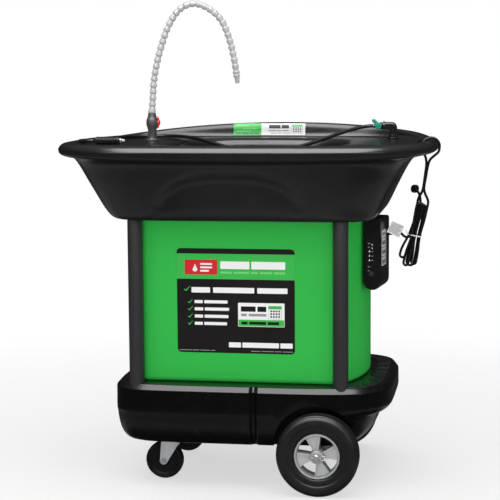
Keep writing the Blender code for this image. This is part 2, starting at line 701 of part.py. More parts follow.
def make_brush_feed(finishes):
    """The elbow on the right deck, its valve and lever, and the hose to the flow-through brush."""
    stations = [(ELBOW + Vector((0, 0, level)), (0, 0, 1), radius) for level, radius in (
        (GAP, 0), (GAP, 0.015), (0.0045, 0.015), (0.0055, ELBOW_RADIUS))]
    corner = Vector((ELBOW.x - ELBOW_BEND, ELBOW.y, ELBOW_LEVEL - ELBOW_BEND))
    for step in range(5):
        turn = math.radians(90) * step / 4
        offset = Vector((math.cos(turn), 0, math.sin(turn))) * ELBOW_BEND
        stations.append((corner + offset, (-math.sin(turn), 0, math.cos(turn)), ELBOW_RADIUS))
    end = Vector((ELBOW_END, ELBOW.y, ELBOW_LEVEL))
    stations += [(end, (-1, 0, 0), ELBOW_RADIUS), (end, (-1, 0, 0), 0)]
    rings = []
    for place, direction, radius in stations:
        rings.append([place] if radius == 0 else circle(place, direction, radius, 14))
    loft("hose_elbow", rings, finishes["hose"])

    valve_start = end - Vector((GAP, 0, 0))
    reach = valve_start.x - BRUSH_VALVE_END
    profile = [(0, 0), (0.0075, 0), (0.0090, 0.002), (0.0090, 0.0155), (0.0065, 0.0175), (0.0060, reach), (0, reach)]
    valve = turned("brush_valve_body", profile, finishes["hose"], valve_start, (-1, 0, 0), 16)
    pivot = Vector((BRUSH_LEVER_X, ELBOW.y, ELBOW_LEVEL))
    spindle = [(0, 0.004), (0.0045, 0.004), (0.0045, 0.0115), (0, 0.0115)]
    boolean(valve, turned("brush_spindle", spindle, None, pivot, (0, -1, 0), 16), "UNION")
    face = 0.0115 + GAP
    hub = [(0, face), (0.0085, face), (0.0085, face + 0.006), (0, face + 0.006)]
    lever = turned("brush_valve_lever", hub, finishes["teal"], pivot, (0, -1, 0), 16)
    tilt = Matrix.Translation(pivot) @ Matrix.Rotation(math.radians(-40), 4, "Y")
    blade = block("brush_lever_blade", (-0.0055, -face - 0.005, -0.006), (0.0055, -face - 0.001, 0.022), None,
                  0.0012, tilt)
    boolean(lever, blade, "UNION")
    set_origin(lever, pivot)

    tube("brush_hose", smooth_route(HOSE_ROUTE, 0.022), HOSE_RADIUS, finishes["hose"])
    handle = [
        (0, -BRUSH_HALF_LENGTH), (0.0075, -BRUSH_HALF_LENGTH), (BRUSH_RADIUS, -0.027),
        (BRUSH_RADIUS, 0.026), (0.0085, BRUSH_HALF_LENGTH), (0, BRUSH_HALF_LENGTH),
    ]
    along = (0.99, 0.141, 0)
    turned("brush_handle", handle, finishes["hose"], BRUSH, along, 20)
    start = BRUSH_HALF_LENGTH + GAP
    nozzle = [(0, start), (0.0055, start), (0.0055, start + 0.004), (0.0032, start + 0.006), (0.0032, start + 0.012),
              (0, start + 0.012)]
    turned("brush_nozzle", nozzle, finishes["steel"], BRUSH, along, 16)


def box_frame():
    """The control box's own frame: X away from the tank's bulging end, Y back along it."""
    turn = math.asin(BOX_Y / TANK_END_RADIUS)
    outward = Vector((math.cos(turn), math.sin(turn), 0))
    touch = Vector((TANK_HALF_LENGTH - TANK_END_RADIUS, 0, 0)) + outward * (TANK_END_RADIUS + 0.0015)
    return Matrix.Translation(touch) @ Matrix.Rotation(turn, 4, "Z")


def make_control_box(finishes):
    """The control box, its front cover and its push button, square to the tank's end."""
    frame = box_frame()
    low = (GAP, BOX_FRONT, BOX_BOTTOM)
    high = (BOX_THICKNESS, BOX_REAR, BOX_TOP)
    block("control_box_body", low, high, finishes["box"], 0.006, frame)
    front = BOX_FRONT - GAP - COVER_THICKNESS
    low = (0.002, front, BOX_BOTTOM + 0.003)
    high = (BOX_THICKNESS - 0.002, BOX_FRONT - GAP, BOX_TOP - 0.003)
    cover = block("control_box_cover", low, high, finishes["box"], 0.002, frame)
    middle = frame @ Vector((BOX_THICKNESS / 2, front, BUTTON_Z))
    inward = frame.to_3x3() @ Vector((0, 1, 0))
    bore(cover, middle, inward, BUTTON_RADIUS + 0.0004, -0.01, 0.02, 16)
    cap = [(0, -0.0022), (0.0052, -0.0022), (BUTTON_RADIUS, -0.0012), (BUTTON_RADIUS, 0.0055), (0, 0.0055)]
    button = turned("power_button", cap, finishes["post"], middle, inward, 16)
    set_origin(button, middle)


def make_power_cord(finishes):
    """The strain relief, the lead into the tied hank, the loop over the rim and the plug."""
    frame = box_frame()
    outward = frame.to_3x3() @ Vector((1, 0, 0))
    exit_place = frame @ Vector((BOX_THICKNESS + GAP, CORD_EXIT_LOCAL_Y, CORD_EXIT_Z))
    relief = [(0, 0), (0.0085, 0), (0.0085, 0.003), (0.0070, 0.004), (0.0048, RELIEF_LENGTH), (0, RELIEF_LENGTH)]
    turned("cord_strain_relief", relief, finishes["cord"], exit_place, outward, 16)

    upward = Vector((math.sin(HANK_LEAN), 0, math.cos(HANK_LEAN)))
    across = Vector((math.cos(HANK_LEAN), 0, -math.sin(HANK_LEAN)))
    straight = HANK_HALF_LENGTH - HANK_HALF_WIDTH
    outline = []
    for end in (1, -1):
        for step in range(9):
            turn = math.pi * step / 8
            side = end * HANK_HALF_WIDTH * math.cos(turn)
            height = end * (straight + HANK_HALF_WIDTH * math.sin(turn))
            outline.append(HANK_CENTRE + across * side + upward * height)
    depth = Vector((0, HANK_HALF_THICKNESS, 0))
    loft("power_cord_hank", [[p - depth for p in outline], [p + depth for p in outline]], finishes["cord"])

    def hank_top(offset):
        """A point just clear of the hank's rounded top, at an offset across it."""
        reach = abs(offset) - CORD_RADIUS
        height = straight + math.sqrt(HANK_HALF_WIDTH ** 2 - max(0.0, reach) ** 2) + 3 * GAP
        return HANK_CENTRE + across * offset + upward * height

    start = exit_place + outward * (RELIEF_LENGTH + GAP)
    finish_place = HANK_CENTRE - across * (HANK_HALF_WIDTH + GAP) + upward * 0.0015
    lead = [start, start + outward * 0.007, finish_place - across * 0.007, finish_place]
    tube("power_cord_lead", smooth_route(lead, 0.004), CORD_RADIUS, finishes["cord"])

    # The two strands hang one behind the other and part again just above the hank
    front = HANK_CENTRE.y - STRAND_OFFSET
    back = HANK_CENTRE.y + STRAND_OFFSET
    rising = hank_top(-0.0110)
    falling = hank_top(0.0120)
    loop = [rising, rising + upward * 0.006, (0.4360, front + 0.002, 0.7225), (0.4405, front, 0.7350),
            (0.4447, front, 0.7650), (0.4482, front, 0.7930), (0.4470, front, 0.8100), (0.4415, front, 0.8240)]
    for step in range(7):
        turn = math.pi * (1 - step / 6)
        y = front + (back - front) * step / 6
        loop.append((HANGER_X + HANGER_RADIUS * math.cos(turn), y, HANGER_Z + HANGER_RADIUS * math.sin(turn)))
    loop += [(0.4780, back, 0.8260), (0.4680, back, 0.8165), (0.4570, back, 0.8060), (0.4515, back, 0.7900),
             (0.4470, back, 0.7640), (0.4425, back, 0.7350), (0.4455, back, 0.7200),
             (0.4500, HANK_CENTRE.y + 0.001, 0.7110), falling + upward * 0.006, falling]
    tube("power_cord_loop", smooth_route(loop, 0.012), CORD_RADIUS, finishes["cord"])

    tail_start = hank_top(-0.0015)
    tail = [tail_start, tail_start + upward * 0.005, (0.4345, -0.0150, 0.7135), (0.4290, -0.0100, 0.7210), (0.4225, -0.0060, 0.7270),
            (0.4180, -0.0025, 0.7290), (PLUG.x, PLUG.y - 0.001, PLUG.z)]
    tube("power_cord_tail", smooth_route(tail, 0.005), CORD_RADIUS, finishes["cord"])

    body = [(0, 0), (0.0055, 0), (0.0095, 0.008), (0.0105, 0.012), (0.0105, 0.027), (0.0090, 0.029), (0, 0.029)]
    plug = turned("power_plug", body, finishes["cord"], PLUG, (0, 1, 0), 18)
    for side in (-1, 1):
        low = PLUG + Vector((side * 0.0055 - 0.0008, 0.026, -0.0010))
        high = PLUG + Vector((side * 0.0055 + 0.0008, 0.044, 0.0055))
        boolean(plug, block("plug_blade", low, high, None), "UNION")
    pin_place = PLUG + Vector((0, 0, -0.0055))
    pin = [(0, 0.026), (0.0022, 0.026), (0.0022, 0.045), (0, 0.045)]
    boolean(plug, turned("plug_pin", pin, None, pin_place, (0, 1, 0), 10), "UNION")

    tag_place = Vector((0.3725, y - 0.0105, 0.632))
    tilt = Matrix.Translation(tag_place) @ Matrix.Rotation(math.radians(25), 4, "Y")
    block("cord_tag", (-0.017, -0.0004, -0.016), (0.017, 0.0004, 0.016), finishes["tag"], 0.0, tilt)


def make_wheel(side, side_name, finishes):
    """A big wheel: a semi-pneumatic tyre on a plastic hub, held on the axle by a cotter pin."""
    centre = Vector((WHEEL_X, side * WHEEL_Y, WHEEL_RADIUS))
    axis = (0, side, 0)
    half = TYRE_HALF_WIDTH
    tread = [
        (TYRE_BORE, -0.020), (0.070, -0.0235), (0.086, -half), (0.096, -0.0240), (WHEEL_RADIUS, -0.012),
        (WHEEL_RADIUS, 0.012), (0.096, 0.0240), (0.086, half), (0.070, 0.0235), (TYRE_BORE, 0.020),
    ]
    tyre = turned(f"tyre_{side_name}", tread, finishes["rubber"], centre, axis, TYRE_STEPS, closed=True)
    set_origin(tyre, centre)
    rim = TYRE_BORE * math.cos(math.pi / TYRE_STEPS) - GAP
    bore_radius = AXLE_RADIUS + GAP
    end = HUB_HALF_LENGTH
    section = [
        (bore_radius, -end), (0.016, -end), (0.018, -0.006), (0.047, -0.004), (0.050, -0.023), (rim, -0.023),
        (rim, 0.023), (0.050, 0.023), (0.047, 0.004), (0.018, 0.006), (0.016, end), (bore_radius, end),
    ]
    hub = turned(f"hub_{side_name}", section, finishes["hub"], centre, axis, 20, closed=True)
    set_origin(hub, centre)

    pin_y = side * (WHEEL_Y + HUB_HALF_LENGTH + 0.0060)
    loop = [(WHEEL_X - 0.013, pin_y, WHEEL_RADIUS), (WHEEL_X + 0.0105, pin_y, WHEEL_RADIUS)]
    ring_x = WHEEL_X + 0.0175
    for step in range(1, 12):
        turn = math.pi - math.radians(300) * step / 11
        loop.append((ring_x + 0.007 * math.cos(turn), pin_y, WHEEL_RADIUS + 0.007 * math.sin(turn)))
    tube(f"cotter_pin_{side_name}", loop, 0.0014, finishes["steel"])
    return pin_y


def make_axle(finishes):
    """The axle through both wheels, cross-drilled for its pins, in two pillow blocks."""
    profile = [(0, -AXLE_HALF_LENGTH), (0.007, -AXLE_HALF_LENGTH), (AXLE_RADIUS, -AXLE_HALF_LENGTH + 0.001)]
    profile += [(radius, -distance) for radius, distance in reversed(profile)]
    axle = turned("axle", profile, finishes["zinc"], (WHEEL_X, 0, WHEEL_RADIUS), (0, 1, 0), 20)
    for side, side_name in ((-1, "front"), (1, "rear")):
        pin_y = make_wheel(side, side_name, finishes)
        bore(axle, (WHEEL_X, pin_y, WHEEL_RADIUS), (1, 0, 0), 0.0018, -0.02, 0.02, 10)
        low = (WHEEL_X - 0.026, side * BRACKET_Y - 0.008, 0.088)
        high = (WHEEL_X + 0.026, side * BRACKET_Y + 0.008, BASE_BOTTOM - GAP)
        bracket = block(f"axle_bracket_{side_name}", low, high, finishes["zinc"], 0.002)
        place = (WHEEL_X, side * BRACKET_Y, WHEEL_RADIUS)
        bore(bracket, place, (0, 1, 0), AXLE_RADIUS + GAP, -0.02, 0.02, 20)


def make_caster(side, side_name, finishes):
    """A swivel caster: a top plate with its race, a trailing fork, a wheel and the wheel's bolt."""
    swivel = Vector((CASTER_X, side * CASTER_Y, 0))
    low = (swivel.x - 0.030, swivel.y - 0.030, BASE_BOTTOM - GAP - 0.003)
    high = (swivel.x + 0.030, swivel.y + 0.030, BASE_BOTTOM - GAP)
    plate = block(f"caster_plate_{side_name}", low, high, finishes["zinc"], 0.0010)
    race_low = FORK_CROWN_TOP + GAP
    race = [(0, race_low), (0.016, race_low), (0.020, 0.107), (0.020, 0.111), (0, 0.111)]
    boolean(plate, turned("caster_race", race, None, swivel, sides=20), "UNION")

    crown = [(0, 0.1005), (0.0235, 0.1005), (0.0235, 0.102), (0.018, FORK_CROWN_TOP), (0, FORK_CROWN_TOP)]
    fork = turned(f"caster_fork_{side_name}", crown, finishes["zinc"], swivel, sides=20)
    wheel_x = CASTER_X - CASTER_TRAIL
    leg = [(CASTER_X - 0.026, 0.1015), (CASTER_X + 0.022, 0.1015)]
    for step in range(7):
        turn = math.radians(-35 - 24 * step)
        leg.append((wheel_x + 0.0095 * math.cos(turn), CASTER_RADIUS + 0.0095 * math.sin(turn)))
    for hand in (-1, 1):
        inner = swivel.y + hand * FORK_HALF_GAP
        outer = inner + hand * FORK_PLATE
        boolean(fork, extruded("fork_leg", leg, inner, outer, "y", None), "UNION")
        shelf_low = (CASTER_X - 0.020, min(swivel.y, outer), 0.0990)
        shelf_high = (CASTER_X + 0.016, max(swivel.y, outer), 0.1015)
        boolean(fork, block("fork_shelf", shelf_low, shelf_high, None), "UNION")
    hub_place = Vector((wheel_x, swivel.y, CASTER_RADIUS))
    bore(fork, hub_place, (0, 1, 0), 0.0040 + GAP, -0.03, 0.03, 12)
    set_origin(fork, swivel)

    half = CASTER_HALF_WIDTH
    section = [
        (0.0043, -half), (0.013, -half), (0.014, -0.010), (0.036, -0.011), (0.044, -0.013), (CASTER_RADIUS, -0.008),
        (CASTER_RADIUS, 0.008), (0.044, 0.013), (0.036, 0.011), (0.014, 0.010), (0.013, half), (0.0043, half),
    ]
    wheel = turned(f"caster_wheel_{side_name}", section, finishes["caster_wheel"], hub_place, (0, 1, 0), 20, True)
    set_origin(wheel, hub_place)
    outer = FORK_HALF_GAP + FORK_PLATE + GAP
    bolt = [
        (0, -outer - 0.004), (0.0065, -outer - 0.004), (0.0065, -outer), (0.0040, -outer),
        (0.0040, outer), (0.0065, outer), (0.0065, outer + 0.004), (0, outer + 0.004),
    ]
    turned(f"caster_bolt_{side_name}", bolt, finishes["steel"], hub_place, (0, 1, 0), 12)


def main():
    clear_scene()
    finishes = make_finishes()
    make_base(finishes)
    make_posts(finishes)
    make_tank(finishes)
    make_tank_contents(finishes)
    make_sink(finishes)
    make_grate(finishes)
    make_faucet(finishes)
    make_brush_feed(finishes)
    make_control_box(finishes)
    make_power_cord(finishes)
    make_axle(finishes)
    for side, side_name in ((-1, "front"), (1, "rear")):
        make_caster(side, side_name, finishes)


main()
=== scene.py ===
import math
import random

import bmesh
import bpy
from mathutils import Matrix, Vector
from mathutils.bvhtree import BVHTree


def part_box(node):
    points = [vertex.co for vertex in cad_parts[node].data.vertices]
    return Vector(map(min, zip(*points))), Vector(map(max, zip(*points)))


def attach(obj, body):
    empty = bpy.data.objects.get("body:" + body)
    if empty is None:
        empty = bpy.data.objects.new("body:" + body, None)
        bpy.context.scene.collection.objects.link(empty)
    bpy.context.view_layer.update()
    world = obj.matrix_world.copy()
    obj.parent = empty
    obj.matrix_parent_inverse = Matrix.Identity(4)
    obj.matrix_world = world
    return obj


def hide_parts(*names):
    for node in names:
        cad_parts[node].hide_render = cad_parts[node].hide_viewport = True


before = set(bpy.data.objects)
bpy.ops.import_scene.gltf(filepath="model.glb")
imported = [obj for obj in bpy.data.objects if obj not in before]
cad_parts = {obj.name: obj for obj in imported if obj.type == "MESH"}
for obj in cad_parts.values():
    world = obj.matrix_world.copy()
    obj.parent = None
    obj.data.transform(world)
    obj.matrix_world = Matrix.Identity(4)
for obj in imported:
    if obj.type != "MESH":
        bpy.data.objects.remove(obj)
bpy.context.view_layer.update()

# ---------------------------------------------------------------- dimensions from the CAD, in metres

BASE_TOP = 0.262
SINK_BOTTOM = 0.669
DECK = 0.850
SINK_HALF_LENGTH = 0.476
TANK_HALF_DEPTH = 0.200
TANK_HALF_LENGTH = 0.306
TANK_END_RADIUS = 0.400
POST_X = 0.254
POST_Y = 0.223
POST_RADIUS = 0.019
SOCKET_DEPTH = 0.020
WHEEL_X = 0.202
WHEEL_Y = 0.257
WHEEL_RADIUS = 0.1016
HUB_HALF_LENGTH = 0.0305
CASTER_X = -0.183
CASTER_Y = 0.143
CASTER_TRAIL = 0.021
CASTER_RADIUS = 0.048
FAUCET = Vector((-0.268, 0.04, DECK))
FAUCET_LEVER_Z = 0.897
ELBOW = Vector((0.352, 0.15, DECK))
ELBOW_LEVEL = 0.884
BRUSH_LEVER_X = 0.314
BRUSH = Vector((-0.335, -0.168, 0.8603))
BRUSH_AXIS = Vector((0.99, 0.141, 0)).normalized()
HOSE_DIAMETER = 0.0095
CORD_DIAMETER = 0.0065
HANK_CENTRE = Vector((0.4215, -0.0245, 0.6145))
HANK_LEAN = math.radians(11.5)
HANGER = Vector((0.459, -0.0245, 0.840))
HANGER_RADIUS = 0.0215
PLUG = Vector((0.4165, 0.0062, 0.729))


# ---------------------------------------------------------------- mesh helpers

def link(name, data):
    item = bpy.data.objects.new(name, data)
    bpy.context.scene.collection.objects.link(item)
    return item


def mesh_piece(name, build, angle=40, tidy=True):
    """A bmesh as a smooth-shaded object, with sharp edges above the given angle."""
    if tidy:
        bmesh.ops.remove_doubles(build, verts=build.verts, dist=1e-6)
        bmesh.ops.dissolve_degenerate(build, edges=build.edges, dist=1e-7)
        bmesh.ops.recalc_face_normals(build, faces=build.faces)
    mesh = bpy.data.meshes.new(name)
    build.to_mesh(mesh)
    build.free()
    mesh.shade_smooth()
    mesh.set_sharp_from_angle(angle=math.radians(angle))
    return link(name, mesh)


def add_rings(build, rings, closed=False):
    rows = [[build.verts.new(point) for point in ring] for ring in rings]
    pairs = list(zip(rows, rows[1:]))
    if closed:
        pairs.append((rows[-1], rows[0]))
    for lower, upper in pairs:
        count = max(len(lower), len(upper))
        for index in range(count):
            after = (index + 1) % count
            corners = [lower[0]] if len(lower) == 1 else [lower[index], lower[after]]
            corners += [upper[0]] if len(upper) == 1 else [upper[after], upper[index]]
            build.faces.new(corners)
    if not closed:
        for row in (rows[0], rows[-1]):
            if len(row) > 1:
                build.faces.new(row)


def skin(name, rings, closed=False, angle=40):
    build = bmesh.new()
    add_rings(build, rings, closed)
    return mesh_piece(name, build, angle)


def circle(centre, direction, radius, sides):
    direction = Vector(direction).normalized()
    helper = Vector((0, 1, 0)) if abs(direction.y) < 0.9 else Vector((0, 0, 1))
    across = direction.cross(helper).normalized()
    other = direction.cross(across).normalized()
    points = []
    for index in range(sides):
        turn = math.tau * index / sides
        points.append(Vector(centre) + radius * (math.cos(turn) * across + math.sin(turn) * other))
    return points


def turned_rings(profile, centre, axis, sides):
    axis = Vector(axis).normalized()
    rings = []
    for radius, distance in profile:
        middle = Vector(centre) + axis * distance
        rings.append([middle] if radius < 1e-7 else circle(middle, axis, radius, sides))
    return rings


def turned(name, profile, centre, axis=(0, 0, 1), sides=48, closed=False, fillet=0.0, angle=40):
    """A turned piece from (radius, distance) pairs, with its corners rounded by the fillet."""
    if fillet:
        profile = rounded(profile, fillet, 4, closed)
    return skin(name, turned_rings(profile, centre, axis, sides), closed, angle)


def rounded(rows, radius, steps=5, closed=False):
    """Rounds the corners of a line of number rows. The first two numbers are its place in the plane.
    radius is one length for all corners, or the index of a row's own entry."""
    def span(a, b):
        return math.hypot(b[0] - a[0], b[1] - a[1])

    count = len(rows)
    result = []
    for index, row in enumerate(rows):
        if not closed and index in (0, count - 1):
            result.append(tuple(row))
            continue
        before = rows[index - 1]
        after = rows[(index + 1) % count]
        reach = radius if isinstance(radius, float) else row[radius]
        shares = []
        for other in (before, after):
            length = span(row, other)
            shares.append(0.0 if length < 1e-9 else min(0.5, reach / length))
        first = [a + (b - a) * shares[0] for a, b in zip(row, before)]
        last = [a + (b - a) * shares[1] for a, b in zip(row, after)]
        for step in range(steps + 1):
            t = step / steps
            result.append(tuple((1 - t) ** 2 * a + 2 * t * (1 - t) * b + t * t * c
                                for a, b, c in zip(first, row, last)))
    kept = [result[0]]
    for row in result[1:]:
        if max(abs(a - b) for a, b in zip(row, kept[-1])) > 1e-6:
            kept.append(row)
    return kept


def filled_in(rows, longest, closed=False):
    """Adds rows between neighbours that lie further apart than the given length."""
    pairs = list(zip(rows, rows[1:]))
    if closed:
        pairs.append((rows[-1], rows[0]))
    result = []
    for a, b in pairs:
        parts = max(1, math.ceil(math.hypot(b[0] - a[0], b[1] - a[1]) / longest))
        for part in range(parts):
            result.append(tuple(p + (q - p) * part / parts for p, q in zip(a, b)))
    if not closed:
        result.append(rows[-1])
    return result


def add_part(build, rings, closed=False, place=None):
    """Adds a lofted solid to a bmesh."""
    part = bmesh.new()
    add_rings(part, rings, closed)
    if place is not None:
        part.transform(place)
    merge_bmesh(build, part)


def add_turned(build, profile, centre, axis, sides, closed=False, place=None):
    add_part(build, turned_rings(profile, centre, axis, sides), closed, place)


def box_bmesh(build, low, high, bevel=0.0, segments=3, place=None):
    """Adds a box with rounded edges to a bmesh."""
    part = bmesh.new()
    bmesh.ops.create_cube(part, size=1.0)
    size = Vector(high) - Vector(low)
    middle = (Vector(high) + Vector(low)) / 2
    for vertex in part.verts:
        vertex.co = Vector((vertex.co.x * size.x, vertex.co.y * size.y, vertex.co.z * size.z)) + middle
    if bevel:
        bmesh.ops.bevel(part, geom=part.edges[:], offset=bevel, segments=segments, affect="EDGES",
                        profile=0.5)
    if place is not None:
        part.transform(place)
    merge_bmesh(build, part)


def merge_bmesh(build, part):
    """Moves all of one bmesh into another."""
    bmesh.ops.recalc_face_normals(part, faces=part.faces)
    mesh = bpy.data.meshes.new("part")
    part.to_mesh(mesh)
    part.free()
    build.from_mesh(mesh)
    bpy.data.meshes.remove(mesh)


def outline_solid(build, outline, low, high, place=None, bevel=0.0, segments=2):
    """Adds a flat outline of (x, z), extruded along y from low to high, to a bmesh."""
    part = bmesh.new()
    add_rings(part, [[Vector((x, level, z)) for x, z in outline] for level in (low, high)])
    if bevel:
        caps = [edge for face in part.faces if len(face.verts) > 4 for edge in face.edges]
        bmesh.ops.bevel(part, geom=list(set(caps)), offset=bevel, segments=segments, affect="EDGES",
                        profile=0.5)
    if place is not None:
        part.transform(place)
    merge_bmesh(build, part)


def round_outline(x0, z0, x1, z1, radius, steps=6):
    """A rectangle with round corners; radius is one number or four, from the lower left anticlockwise."""
    radii = [radius] * 4 if isinstance(radius, (int, float)) else radius
    corners = [(x0, z0, 1, 1, math.pi), (x1, z0, -1, 1, 1.5 * math.pi), (x1, z1, -1, -1, 0),
               (x0, z1, 1, -1, 0.5 * math.pi)]
    points = []
    for (x, z, sx, sz, start), r in zip(corners, radii):
        for step in range(steps + 1):
            turn = start + 0.5 * math.pi * step / steps
            points.append((x + sx * r + r * math.cos(turn), z + sz * r + r * math.sin(turn)))
    return points


def smooth_route(points, spacing):
    """Points at an even spacing along a smooth curve through the route's own points."""
    route = [Vector(point) for point in points]
    ends = [2 * route[0] - route[1]] + route + [2 * route[-1] - route[-2]]
    fine = []
    for a, b, c, d in zip(ends, ends[1:], ends[2:], ends[3:]):
        for step in range(24):
            t = step / 24
            fine.append(0.5 * (2 * b + (c - a) * t + (2 * a - 5 * b + 4 * c - d) * t * t
                               + (3 * b - a - 3 * c + d) * t ** 3))
    fine.append(route[-1])
    return even_points(fine, spacing)


def even_points(fine, spacing):
    lengths = [0.0]
    for a, b in zip(fine, fine[1:]):
        lengths.append(lengths[-1] + (b - a).length)
    count = max(2, round(lengths[-1] / spacing))
    result = []
    index = 0
    for step in range(count + 1):
        wanted = lengths[-1] * step / count
        while index < len(fine) - 2 and lengths[index + 1] < wanted:
            index += 1
        share = (wanted - lengths[index]) / (lengths[index + 1] - lengths[index])
        result.append(fine[index].lerp(fine[index + 1], min(1.0, share)))
    return result


def wire(name, points, radius, resolution=4):
    """A round wire or cord along one open spline."""
    curve = bpy.data.curves.new(name, "CURVE")
    curve.dimensions = "3D"
    curve.bevel_depth = radius
    curve.bevel_resolution = resolution
    curve.use_fill_caps = True
    spline = curve.splines.new("POLY")
    spline.points.add(len(points) - 1)
    for target, point in zip(spline.points, points):
        target.co = (*point, 1.0)
    return link(name, curve)


def swept_tube(build, points, radii, sides=12):
    """Adds a round tube with a radius at each point to a bmesh."""
    rings = []
    for index, (point, radius) in enumerate(zip(points, radii)):
        before = points[max(0, index - 1)]
        after = points[min(len(points) - 1, index + 1)]
        rings.append(circle(point, after - before, radius, sides))
    add_part(build, rings)


def bake(item):
    """Keeps what the modifiers make as the object's own mesh."""
    graph = bpy.context.evaluated_depsgraph_get()
    mesh = bpy.data.meshes.new_from_object(item.evaluated_get(graph))
    item.modifiers.clear()
    item.data = mesh


def carve(item, tools):
    """Cuts closed tools out of a piece and removes the tools."""
    for tool in tools:
        modifier = item.modifiers.new(tool.name, "BOOLEAN")
        modifier.operation = "DIFFERENCE"
        modifier.solver = "EXACT"
        modifier.object = tool
    bpy.context.view_layer.update()
    bake(item)
    for tool in tools:
        bpy.data.objects.remove(tool)


def resharpen(item, angle=40):
    item.data.shade_smooth()
    item.data.set_sharp_from_angle(angle=math.radians(angle))
    modifier = item.modifiers.new("weighted_normals", "WEIGHTED_NORMAL")
    modifier.keep_sharp = True
    return item


def place(piece, body, slot, material, *replaced):
    """Gives a new piece its finish and the body it moves with, and hides the CAD nodes it stands for."""
    materials = material if isinstance(material, (list, tuple)) else [material]
    for each in materials:
        piece.data.materials.append(each)
    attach(piece, body)
    if replaced:
        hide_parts(*replaced)
    return piece


# ---------------------------------------------------------------- materials

def surface(name, colour, roughness, metallic=0.0, specular=0.5, spread=0.12, blotch=9.0,
            grain=900.0, bump=0.08, relief=0.0004, rough_spread=0.06, stretch=(1, 1, 1), worn=0.0,
            scuffs=0.0, sheen=0.0, subsurface=0.0):
    """A moulded, painted or metal surface: blotchy colour, fine grain bump, uneven gloss and worn edges."""
    material = bpy.data.materials.new(name)
    material.use_nodes = True
    nodes = material.node_tree.nodes
    links = material.node_tree.links
    shader = nodes["Principled BSDF"]
    shader.inputs["Metallic"].default_value = metallic
    shader.inputs["Specular IOR Level"].default_value = specular
    shader.inputs["Sheen Weight"].default_value = sheen
    if subsurface:
        shader.inputs["Subsurface Weight"].default_value = subsurface
        shader.inputs["Subsurface Scale"].default_value = 0.004

    where = nodes.new("ShaderNodeTexCoord")
    scale = nodes.new("ShaderNodeMapping")
    scale.inputs["Scale"].default_value = stretch
    links.new(where.outputs["Object"], scale.inputs["Vector"])

    def noise_node(size, detail):
        node = nodes.new("ShaderNodeTexNoise")
        node.inputs["Scale"].default_value = size
        node.inputs["Detail"].default_value = detail
        links.new(scale.outputs["Vector"], node.inputs["Vector"])
        return node.outputs["Fac"]

    def mixed(factor, first, second):
        node = nodes.new("ShaderNodeMix")
        node.data_type = "RGBA"
        links.new(factor, node.inputs["Factor"])
        for socket, value in ((node.inputs[6], first), (node.inputs[7], second)):
            if isinstance(value, tuple):
                socket.default_value = (*value, 1.0)
            else:
                links.new(value, socket)
        return node.outputs[2]

    def ramp(value, low, high, top=1.0):
        node = nodes.new("ShaderNodeMapRange")
        node.inputs["From Min"].default_value = low
        node.inputs["From Max"].default_value = high
        node.inputs["To Max"].default_value = top
        links.new(value, node.inputs["Value"])
        return node.outputs["Result"]

    darker = tuple(c * (1 - spread) for c in colour)
    lighter = tuple(min(1.0, c * (1 + spread)) for c in colour)
    base = mixed(ramp(noise_node(blotch, 5), 0.3, 0.7), darker, lighter)
    fine = noise_node(grain, 2)
    rough = nodes.new("ShaderNodeMapRange")
    rough.inputs["To Min"].default_value = max(0.02, roughness - rough_spread)
    rough.inputs["To Max"].default_value = min(1.0, roughness + rough_spread)
    links.new(noise_node(blotch * 3, 6), rough.inputs["Value"])
    rough_out = rough.outputs["Result"]
    if worn:
        pointy = nodes.new("ShaderNodeNewGeometry").outputs["Pointiness"]
        pale = tuple(min(1.0, c * 2.2 + 0.02) for c in colour)
        base = mixed(ramp(pointy, 0.52, 0.60, worn), base, pale)
    if scuffs:
        scratch = noise_node(38.0, 12)
        pale = tuple(min(1.0, c * 1.6 + 0.012) for c in colour)
        base = mixed(ramp(scratch, 0.58, 0.74, scuffs), base, pale)
    links.new(base, shader.inputs["Base Color"])
    links.new(rough_out, shader.inputs["Roughness"])
    if bump:
        relief_node = nodes.new("ShaderNodeBump")
        relief_node.inputs["Strength"].default_value = bump
        relief_node.inputs["Distance"].default_value = relief
        links.new(fine, relief_node.inputs["Height"])
        links.new(relief_node.outputs["Normal"], shader.inputs["Normal"])
    return material


def corded(name, colour, roughness, pitch):
    """Rubber or PVC with fine rings or flow lines around it."""
    return surface(name, colour, roughness, grain=pitch, bump=0.15, relief=0.0003, spread=0.2, blotch=30)


